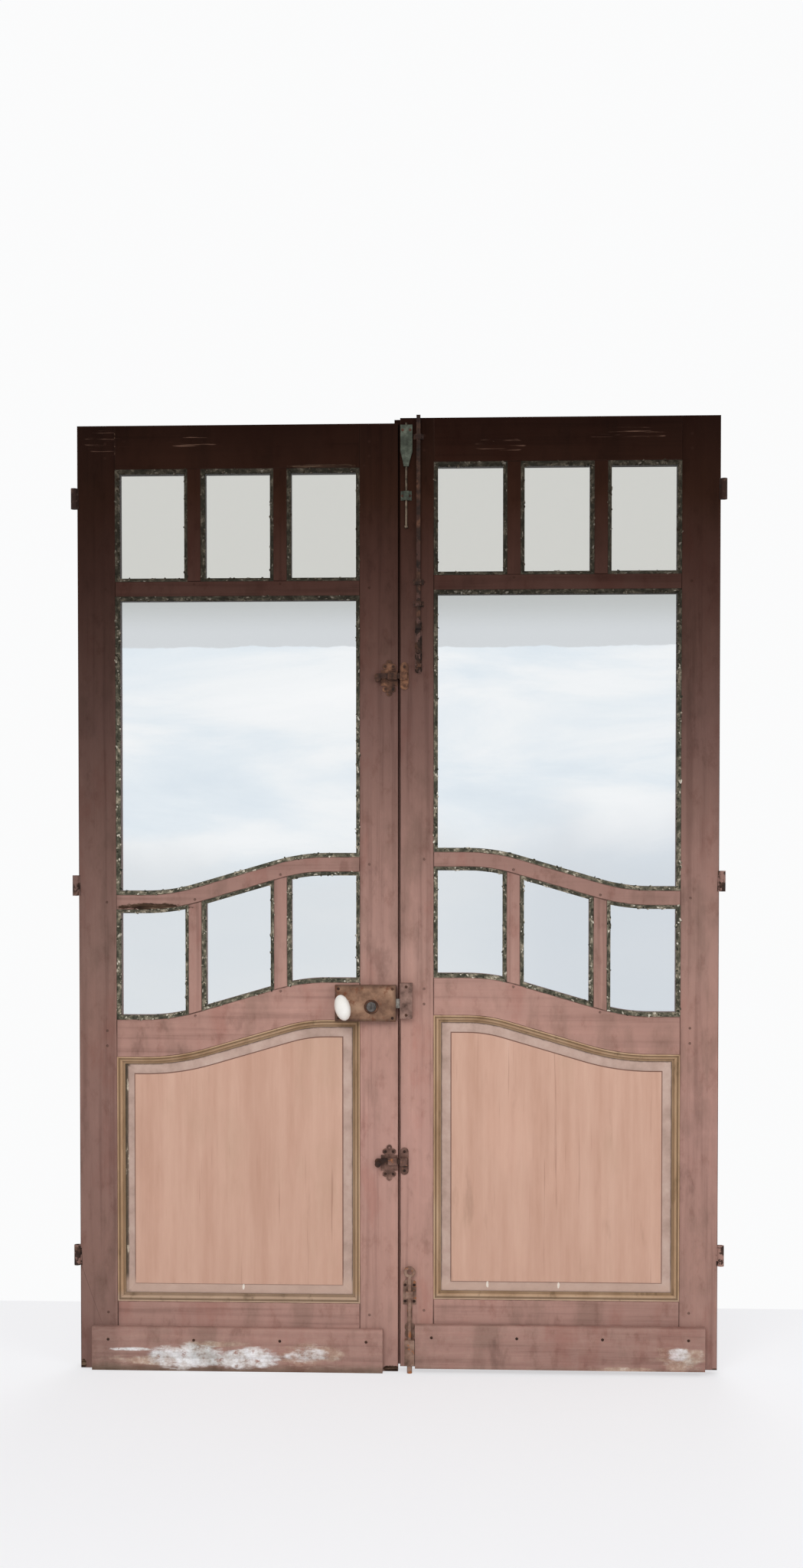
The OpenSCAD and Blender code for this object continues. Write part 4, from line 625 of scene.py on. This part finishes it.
def plain_mesh(thing, name):
    """Turns what the modifiers make of a piece into a mesh of its own, and drops them."""
    graph = bpy.context.evaluated_depsgraph_get()
    mesh = bpy.data.meshes.new_from_object(thing.evaluated_get(graph), depsgraph=graph)
    mesh.name = name
    thing.modifiers.clear()
    thing.data = mesh


def merged_copy(node):
    """A CAD piece's mesh with its loose triangles joined and its flat faces whole, as a bmesh."""
    shape = bmesh.new()
    shape.from_mesh(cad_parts[node].data)
    bmesh.ops.remove_doubles(shape, verts=shape.verts, dist=WELD)
    bmesh.ops.dissolve_limit(shape, angle_limit=FLAT_ANGLE, verts=shape.verts, edges=shape.edges)
    return shape


def to_mesh(shape, name):
    """Writes a bmesh to a new mesh and frees it."""
    mesh = bpy.data.meshes.new(name)
    shape.to_mesh(mesh)
    shape.free()
    return mesh


def arrises(shape):
    """The convex edges of the front and back face that are long enough to be eased."""
    depths = [corner.co.y for corner in shape.verts]
    faces = min(depths), max(depths)
    for edge in shape.edges:
        outside = any(all(abs(corner.co.y - y) < WELD for corner in edge.verts) for y in faces)
        sharp = edge.is_convex and edge.calc_face_angle(0) > SHARP_ANGLE
        if outside and sharp and edge.calc_length() > SHORTEST_ARRIS:
            yield edge


def smooth_strips(mesh):
    """Shades faces smoothly, with sharp lines where the worn strips begin and at corners."""
    shape = bmesh.new()
    shape.from_mesh(mesh)
    for polygon in shape.faces:
        polygon.smooth = True
    for edge in shape.edges:
        kinds = {polygon.material_index for polygon in edge.link_faces}
        edge.smooth = len(kinds) == 1 and edge.calc_face_angle(0) < SHARP_ANGLE
    shape.to_mesh(mesh)
    shape.free()


def eased(node, body, slot, face, arris):
    """A copy of a CAD piece with its front and back arrises eased to worn strips."""
    shape = merged_copy(node)
    weight = shape.edges.layers.float.new("bevel_weight_edge")
    for edge in arrises(shape):
        edge[weight] = 1.0
    piece = add_object("eased_" + node, to_mesh(shape, "merged_" + node))
    give(piece, face, arris)
    bevel = piece.modifiers.new("arris", "BEVEL")
    bevel.width = ARRIS_WIDTH
    bevel.segments = 2
    bevel.limit_method = "WEIGHT"
    bevel.use_clamp_overlap = slot == "board_paint"
    bevel.material = 1
    plain_mesh(piece, "eased_" + node)
    smooth_strips(piece.data)
    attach(piece, body)
    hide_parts(node)


class Pattern(Nodes):
    """A Geometry Nodes tree with named inputs, run on one mesh and turned into a plain piece."""

    def __init__(self, name):
        self.tree = bpy.data.node_groups.new(name, "GeometryNodeTree")
        for way in ("INPUT", "OUTPUT"):
            self.tree.interface.new_socket(
                "Geometry", in_out=way, socket_type="NodeSocketGeometry")
        self.start = self.tree.nodes.new("NodeGroupInput")
        self.end = self.tree.nodes.new("NodeGroupOutput")

    def mesh(self):
        """The mesh that the tree is run on."""
        return self.start.outputs["Geometry"]

    def size(self, name, kind="NodeSocketFloat"):
        """A named input of the tree."""
        self.tree.interface.new_socket(name, in_out="INPUT", socket_type=kind)
        return self.start.outputs[name]

    def node(self, kind, settings=(), **inputs):
        """A node whose inputs are given by name, with _ for a space."""
        made = self.tree.nodes.new(kind)
        for setting, value in settings:
            setattr(made, setting, value)
        for name, value in inputs.items():
            wanted = name.replace("_", " ")
            self.feed(next(s for s in made.inputs if s.name == wanted and s.enabled), value)
        return made

    def times(self, value, factor):
        made = self.node("ShaderNodeMath", (("operation", "MULTIPLY"),))
        self.feed(made.inputs[0], value)
        self.feed(made.inputs[1], factor)
        return made.outputs[0]

    def turned(self, rotation, most, seed):
        """A rotation, turned on about its own z by a random angle up to most."""
        angle = self.node("FunctionNodeRandomValue", (("data_type", "FLOAT"),),
                          Min=0.0, Max=most, Seed=seed).outputs[1]
        about = self.node("ShaderNodeCombineXYZ", Z=angle).outputs[0]
        return self.node("FunctionNodeRotateRotation", (("rotation_space", "LOCAL"),),
                         Rotation=rotation, Rotate_By=about).outputs[0]

    def finish(self, geometry, material):
        real = self.node("GeometryNodeRealizeInstances", Geometry=geometry).outputs[0]
        done = self.node("GeometryNodeSetMaterial", Geometry=real, Material=material).outputs[0]
        self.tree.links.new(done, self.end.inputs[0])

    def run(self, mesh, name, sizes, body, slot):
        """Runs the tree on a mesh with these sizes, as a plain piece that rides on a body."""
        piece = add_object(name, mesh)
        modifier = piece.modifiers.new(name, "NODES")
        modifier.node_group = self.tree
        for item in self.tree.interface.items_tree:
            if item.item_type == "SOCKET" and item.in_out == "INPUT" and item.name in sizes:
                modifier[item.identifier] = sizes[item.name]
        plain_mesh(piece, name)
        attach(piece, body)


# Shares of a flake's length: its length, breadth and thickness
SMALLEST_FLAKE = (0.35, 0.22, 0.12)
LARGEST_FLAKE = (1.0, 0.55, 0.26)
DENTS_PER_M, DENT_DEPTH = 520.0, 0.0034
# Shares of the head's radius and of the slot's depth, so that the cutter reaches past both
CUTTER_LENGTH, CUTTER_HEIGHT = 2.4, 2.0


def flake_pattern():
    """Ragged flakes scattered over a mesh, each a flattened, dented pebble lying on its face."""
    p = Pattern("putty flakes")
    amount, length = p.size("Flakes per m2"), p.size("Flake length")
    seed = p.size("Seed", "NodeSocketInt")
    spread = p.node("GeometryNodeDistributePointsOnFaces",
                    Mesh=p.mesh(), Density=amount, Seed=seed)
    pebble = p.node("GeometryNodeMeshIcoSphere", Radius=0.5, Subdivisions=2)
    turned = p.turned(spread.outputs["Rotation"], math.tau, seed)
    shares = p.node("FunctionNodeRandomValue", (("data_type", "FLOAT_VECTOR"),),
                    Min=SMALLEST_FLAKE, Max=LARGEST_FLAKE, Seed=seed)
    scaled = p.node("ShaderNodeVectorMath", (("operation", "SCALE"),),
                    Vector=shares.outputs[0], Scale=length)
    laid = p.node("GeometryNodeInstanceOnPoints", Points=spread.outputs["Points"],
                  Instance=pebble.outputs["Mesh"], Rotation=turned, Scale=scaled.outputs[0])
    solid = p.node("GeometryNodeRealizeInstances", Geometry=laid.outputs[0])
    rough = p.node("ShaderNodeTexNoise", (("noise_dimensions", "3D"),),
                   Scale=DENTS_PER_M, Detail=2.0)
    centred = p.node("ShaderNodeVectorMath", (("operation", "SUBTRACT"),),
                     Vector=rough.outputs["Color"])
    centred.inputs[1].default_value = (0.5, 0.5, 0.5)
    dent = p.node("ShaderNodeVectorMath", (("operation", "SCALE"),),
                  Vector=centred.outputs[0], Scale=DENT_DEPTH)
    dented = p.node("GeometryNodeSetPosition", Geometry=solid.outputs[0], Offset=dent.outputs[0])
    p.finish(dented.outputs[0], FLAKES)
    return p


def screw_pattern():
    """Domed heads with a slot at a random angle, one on each face, facing along its normal."""
    p = Pattern("slotted screw heads")
    radius, dome = p.size("Head radius"), p.size("Dome height")
    wide, deep, seed = p.size("Slot width"), p.size("Slot depth"), p.size("Seed", "NodeSocketInt")
    ball = p.node("GeometryNodeMeshUVSphere", Segments=20, Rings=8, Radius=1.0)
    flattened = p.node("ShaderNodeCombineXYZ", X=radius, Y=radius, Z=dome)
    head = p.node("GeometryNodeTransform", Geometry=ball.outputs["Mesh"],
                  Scale=flattened.outputs[0])
    reach = p.node("ShaderNodeCombineXYZ", X=p.times(radius, CUTTER_LENGTH), Y=wide,
                   Z=p.times(deep, CUTTER_HEIGHT))
    cutter = p.node("GeometryNodeMeshCube", Size=reach.outputs[0])
    raised = p.node("ShaderNodeCombineXYZ", Z=dome)
    moved = p.node("GeometryNodeTransform", Geometry=cutter.outputs["Mesh"],
                   Translation=raised.outputs[0])
    cut = p.node("GeometryNodeMeshBoolean", (("operation", "DIFFERENCE"),))
    p.feed(cut.inputs[0], head.outputs[0])
    p.feed(cut.inputs[1], moved.outputs[0])
    facing = p.node("FunctionNodeAlignRotationToVector", (("axis", "Z"),),
                    Vector=p.node("GeometryNodeInputNormal").outputs[0])
    kept = p.node("GeometryNodeCaptureAttribute", (("domain", "FACE"),), Geometry=p.mesh())
    kept.capture_items.new("ROTATION", "facing")
    p.feed(kept.inputs["facing"], p.turned(facing.outputs[0], math.pi, seed))
    middles = p.node("GeometryNodeMeshToPoints", (("mode", "FACES"),), Mesh=kept.outputs[0])
    laid = p.node("GeometryNodeInstanceOnPoints", Points=middles.outputs[0],
                  Instance=cut.outputs[0], Rotation=kept.outputs["facing"])
    p.finish(laid.outputs[0], DARK_IRON)
    return p


FLAKE_PATTERN = flake_pattern()
SCREW_PATTERN = screw_pattern()
FLAKE_SIZES = {"Flakes per m2": 6000.0, "Flake length": 0.012}
FLAKE_SEED = {"left": 3, "right": 8}
SCREW_SIZES = {
    "Head radius": 0.0034, "Dome height": 0.0009, "Slot width": 0.0008, "Slot depth": 0.0007,
}
SCREW_SEED = {"left": 5, "right": 6}
HALF_SEAT = 0.0005


def islands(shape):
    """The separate solids of a bmesh, each as its list of corners, always in the same order."""
    seen = set()
    for first in shape.verts:
        if first in seen:
            continue
        seen.add(first)
        reached = [first]
        for corner in reached:
            for edge in corner.link_edges:
                other = edge.other_vert(corner)
                if other not in seen:
                    seen.add(other)
                    reached.append(other)
        yield reached


def screw_end(corners):
    """The middle of a screw's outer end and the way it faces: forwards, or out of a side edge."""
    low = Vector(min(c.co[i] for c in corners) for i in range(3))
    high = Vector(max(c.co[i] for c in corners) for i in range(3))
    middle = (low + high) / 2
    if high.y - low.y > high.x - low.x:
        return Vector((middle.x, low.y, middle.z)), Vector((0, -1, 0))
    if middle.x < x_at(0):
        return Vector((low.x, middle.y, middle.z)), Vector((-1, 0, 0))
    return Vector((high.x, middle.y, middle.z)), Vector((1, 0, 0))


def screw_seats(node):
    """A tiny face on the outer end of every screw of a CAD node, square to the screw."""
    shape = merged_copy(node)
    seats = bmesh.new()
    for corners in islands(shape):
        point, out = screw_end(corners)
        across = out.cross(Vector((0, 0, 1)))
        up = across.cross(out)
        ring = [point + HALF_SEAT * (a * across + b * up)
                for a, b in ((-1, -1), (1, -1), (1, 1), (-1, 1))]
        seat = seats.faces.new([seats.verts.new(c) for c in ring])
        seat.normal_update()
        if seat.normal.dot(out) < 0:
            seat.normal_flip()
    shape.free()
    return to_mesh(seats, "seats_" + node)


# The left leaf's joinery; the right leaf is its mirror image and stands higher. Distances across
# the leaf, u, count from the hinge stile's outer edge.
LEAF_OUTER_X = {"left": -741.5, "right": 730.5}
LEAF_WAY = {"left": 1, "right": -1}
LEAF_LIFT = {"left": 0, "right": 12}
OPENING = (87.0, 651.0)
MULLION_W = 31.0
LIGHT_W = (OPENING[1] - OPENING[0] - 2 * MULLION_W) / 3
SWEEP_R, SWEEP_SIN, SWEEP_COS = 420.0, 0.28, 0.96
SWEEP_LOW, SWEEP_HIGH, SWEEP_RISE = 153.0, 574.44, 87.92
BOTTOM_RAIL_Z, PANEL_TOP, LOCK_RAIL_Z, BAR_Z = 157.0, -87.0, 813.0, 1102.0
BAR_UNDER, LARGE_TOP_Z, TOP_LIGHT_Z, TOP_RAIL_Z = -34.0, 1789.0, 1823.0, 2080.0

# Sections as distance into the opening and depth behind the front face
REBATE_D, PANE_FRONT, FACE_STEP = 16.0, 13.0, 1.5
FILLET, HOLLOW_R, MOULDING_W, MARGIN_W = 3, 9, 17, 41
HOLLOW = [
    (FILLET + HOLLOW_R * math.sin(math.radians(turn)),
     3.5 + HOLLOW_R * (1 - math.cos(math.radians(turn))))
    for turn in range(0, 91, 15)
]
MOULDING_SECTION = [
    (0, REBATE_D), (0, FACE_STEP), (FILLET, FACE_STEP), *HOLLOW,
    (MOULDING_W, 12.5), (MOULDING_W, REBATE_D),
]
MARGIN_SECTION = [(MOULDING_W, REBATE_D), (MOULDING_W, 15), (MARGIN_W, 10), (MARGIN_W, REBATE_D)]
PUTTY_SECTION = [(0, FACE_STEP), (0, PANE_FRONT), (9, PANE_FRONT)]


def swept(z, offset):
    """The S-shaped line that starts at z, moved up square to itself, as its height at u."""
    def height(u, inside):
        d = offset + inside
        lower, upper = SWEEP_R - d, SWEEP_R + d
        if u <= SWEEP_LOW:
            return z + d
        if u <= SWEEP_LOW + lower * SWEEP_SIN:
            return z + SWEEP_R - math.sqrt(lower ** 2 - (u - SWEEP_LOW) ** 2)
        if u >= SWEEP_HIGH:
            return z + SWEEP_RISE + d
        if u >= SWEEP_HIGH - upper * SWEEP_SIN:
            return z + SWEEP_RISE - SWEEP_R + math.sqrt(upper ** 2 - (SWEEP_HIGH - u) ** 2)
        foot = z + SWEEP_R - lower * SWEEP_COS
        return foot + (u - SWEEP_LOW - lower * SWEEP_SIN) * SWEEP_SIN / SWEEP_COS
    return height


def level(z):
    return lambda u, inside: z + inside


def strip(shape, side, section, u, way, under, over):
    """An upright strip at distance u, mitred into the lines under and over it."""
    rings = []
    for line, sign in ((under, 1), (over, -1)):
        ring = []
        for inside, depth in section:
            at = u + way * inside
            x = LEAF_OUTER_X[side] + LEAF_WAY[side] * at
            z = line(at, sign * inside) + LEAF_LIFT[side]
            ring.append(shape.verts.new(place(x, depth, z)))
        rings.append(ring)
    low, high = rings
    for i, corner in enumerate(low):
        j = (i + 1) % len(section)
        shape.faces.new([corner, low[j], high[j], high[i]])
    shape.faces.new(low)
    shape.faces.new(high)


def upright_strips(side, section, lights):
    """Strips at both sides of each light, given as two distances u and a lower and upper line."""
    shape = bmesh.new()
    for near, far, under, over in lights:
        strip(shape, side, section, near, 1, under, over)
        strip(shape, side, section, far, -1, under, over)
    bmesh.ops.recalc_face_normals(shape, faces=shape.faces)
    return shape


def panel_opening():
    return [(*OPENING, level(BOTTOM_RAIL_Z), swept(LOCK_RAIL_Z, PANEL_TOP))]


def all_lights():
    yield (*OPENING, swept(BAR_Z, 0), level(LARGE_TOP_Z))
    for i in range(3):
        near = OPENING[0] + i * (LIGHT_W + MULLION_W)
        yield near, near + LIGHT_W, level(TOP_LIGHT_Z), level(TOP_RAIL_Z)
        yield near, near + LIGHT_W, swept(LOCK_RAIL_Z, 0), swept(BAR_Z, BAR_UNDER)


def dress_strips(side, body):
    """The upright strips of moulding, margin and putty, which meet the level ones."""
    for name, section, lights, slot, finish in (
        ("moulding", MOULDING_SECTION, panel_opening(), "moulding_paint", MOULDING),
        ("margin", MARGIN_SECTION, panel_opening(), "panel_paint", PANEL),
        ("putty", PUTTY_SECTION, all_lights(), "putty", PUTTY),
    ):
        name = f"{side}_{name}_uprights"
        piece = add_object(name, to_mesh(upright_strips(side, section, lights), name))
        give(piece, finish)
        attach(piece, body)


def putty_faces(side):
    """The putty's sloping front faces alone, level and upright."""
    shape = merged_copy(f"{side}_putty")
    uprights = upright_strips(side, PUTTY_SECTION, all_lights())
    shape.from_mesh(to_mesh(uprights, "uprights_" + side))
    shape.normal_update()
    hidden = [face for face in shape.faces if face.normal.y > -0.2]
    bmesh.ops.delete(shape, geom=hidden, context="FACES")
    return to_mesh(shape, "putty_faces_" + side)


def dress_leaf(side):
    body = BODY_OF_SIDE[side]
    for part, finish in FRAME_FINISH.items():
        if part == "kick_board":
            eased(f"{side}_{part}", body, "board_paint", finish, BOARD_ARRIS)
        else:
            eased(f"{side}_{part}", body, "frame_paint", finish, ARRIS)
    for part, finish in KEPT_FINISH.items():
        give(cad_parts[f"{side}_{part}"], finish)
    dress_strips(side, body)
    sizes = FLAKE_SIZES | {"Seed": FLAKE_SEED[side]}
    FLAKE_PATTERN.run(putty_faces(side), f"{side}_putty_flakes", sizes, body, "putty")
    sizes = SCREW_SIZES | {"Seed": SCREW_SEED[side]}
    seats = screw_seats(f"{side}_screws")
    SCREW_PATTERN.run(seats, f"{side}_screw_heads", sizes, body, "dark_iron")


def dress_hardware():
    for node, finish in HARDWARE_FINISH.items():
        give(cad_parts[node], finish)


FLOOR_GLOW = 0.62
FLOOR_CORNERS = [(-2700, -2600), (2700, -2600), (2700, 560), (-2700, 560)]
BACKDROP, SOFT_LIGHT = (0.965, 0.967, 0.97, 1), (0.98, 0.985, 1.0, 1)
SOFT_STRENGTH = 0.58
# Name, place, the point aimed at, diameter in metres, watts
LAMPS = [
    ("soft_front", (-900, -3600, 3000), (0, 0, 1000), 2.4, 70),
    ("soft_side", (2600, -2600, 2200), (100, 0, 1000), 2.0, 27),
    ("soft_back", (300, 3000, 2800), (0, 0, 1000), 2.4, 44),
]
# The photograph's height, focal length and the height of its optical middle, in pixels
PHOTO_HEIGHT, FOCAL_LENGTH, OPTICAL_MIDDLE = 2048, 2278, 1135
FILM_HEIGHT = 36.0
EYE = (167, -4000, 1261)
TURNED_DOWN, TURNED_LEFT = 1.41, 2.31


def seen_directly(tree):
    """1 for rays from the camera, and for those that glass lets through or a gloss sends back."""
    rays = tree.nodes.new("ShaderNodeLightPath")
    direct = rays.outputs["Is Camera Ray"]
    for kind in ("Is Transmission Ray", "Is Glossy Ray"):
        either = tree.nodes.new("ShaderNodeMath")
        either.operation = "MAXIMUM"
        tree.links.new(direct, either.inputs[0])
        tree.links.new(rays.outputs[kind], either.inputs[1])
        direct = either.outputs[0]
    return direct


def mixed_shader(tree, share, first, second, output):
    mixed = tree.nodes.new("ShaderNodeMixShader")
    for socket, value in zip(mixed.inputs, (share, first, second)):
        tree.links.new(value, socket)
    tree.links.new(mixed.outputs[0], output.inputs["Surface"])


def set_floor():
    """A plain pale floor that reaches a little behind the doors; it keeps their shadow."""
    shape = bmesh.new()
    shape.faces.new([shape.verts.new(place(x, y, 0)) for x, y in FLOOR_CORNERS])
    floor = add_object("pale_floor", to_mesh(shape, "pale_floor"))
    f = Finish("pale_floor")
    pale = f.ramp(f.grain((0.8, 0.8, 0.8), 2, 0.5), (0.3, (246, 246, 248)), (0.7, (249, 249, 250)))
    f.finish(pale, 0.8, shine=0.1)
    glow = f.tree.nodes.new("ShaderNodeEmission")
    glow.inputs["Color"].default_value = paint(246, 246, 248)
    share = f.times(seen_directly(f.tree), FLOOR_GLOW)
    mixed_shader(f.tree, share, f.surface.outputs[0], glow.outputs[0], f.output)
    give(floor, f.material)


def set_light():
    """A white world where it is seen, a soft one on the doors, and three soft lamps."""
    world = bpy.data.worlds.new("studio")
    bpy.context.scene.world = world
    world.use_nodes = True
    tree = world.node_tree
    tree.nodes.clear()
    output = tree.nodes.new("ShaderNodeOutputWorld")
    seen = tree.nodes.new("ShaderNodeBackground")
    seen.inputs["Color"].default_value = BACKDROP
    soft = tree.nodes.new("ShaderNodeBackground")
    soft.inputs["Color"].default_value = SOFT_LIGHT
    soft.inputs["Strength"].default_value = SOFT_STRENGTH
    mixed_shader(tree, seen_directly(tree), soft.outputs[0], seen.outputs[0], output)
    for name, spot, aim, size, watts in LAMPS:
        data = bpy.data.lights.new(name, "AREA")
        data.shape = "DISK"
        data.size = size
        data.energy = watts
        lamp = add_object(name, data)
        lamp.location = place(*spot)
        lamp.rotation_euler = (place(*aim) - place(*spot)).to_track_quat("-Z", "Y").to_euler()
        lamp.visible_camera = False
        lamp.visible_glossy = False
        lamp.visible_transmission = False


def set_camera():
    """The photograph's view: eye level, four metres off, turned a little to the left and down."""
    data = bpy.data.cameras.new("camera")
    data.sensor_fit = "VERTICAL"
    data.sensor_height = FILM_HEIGHT
    data.lens = FILM_HEIGHT * FOCAL_LENGTH / PHOTO_HEIGHT
    data.shift_y = (OPTICAL_MIDDLE - PHOTO_HEIGHT / 2) / PHOTO_HEIGHT
    camera = add_object("camera", data)
    camera.location = place(*EYE)
    camera.rotation_euler = (math.radians(90 - TURNED_DOWN), 0, math.radians(TURNED_LEFT))
    bpy.context.scene.camera = camera


set_camera()
set_light()
set_floor()
dress_leaf("left")
dress_leaf("right")
dress_hardware()

bpy.context.scene.view_settings.view_transform = "Standard"
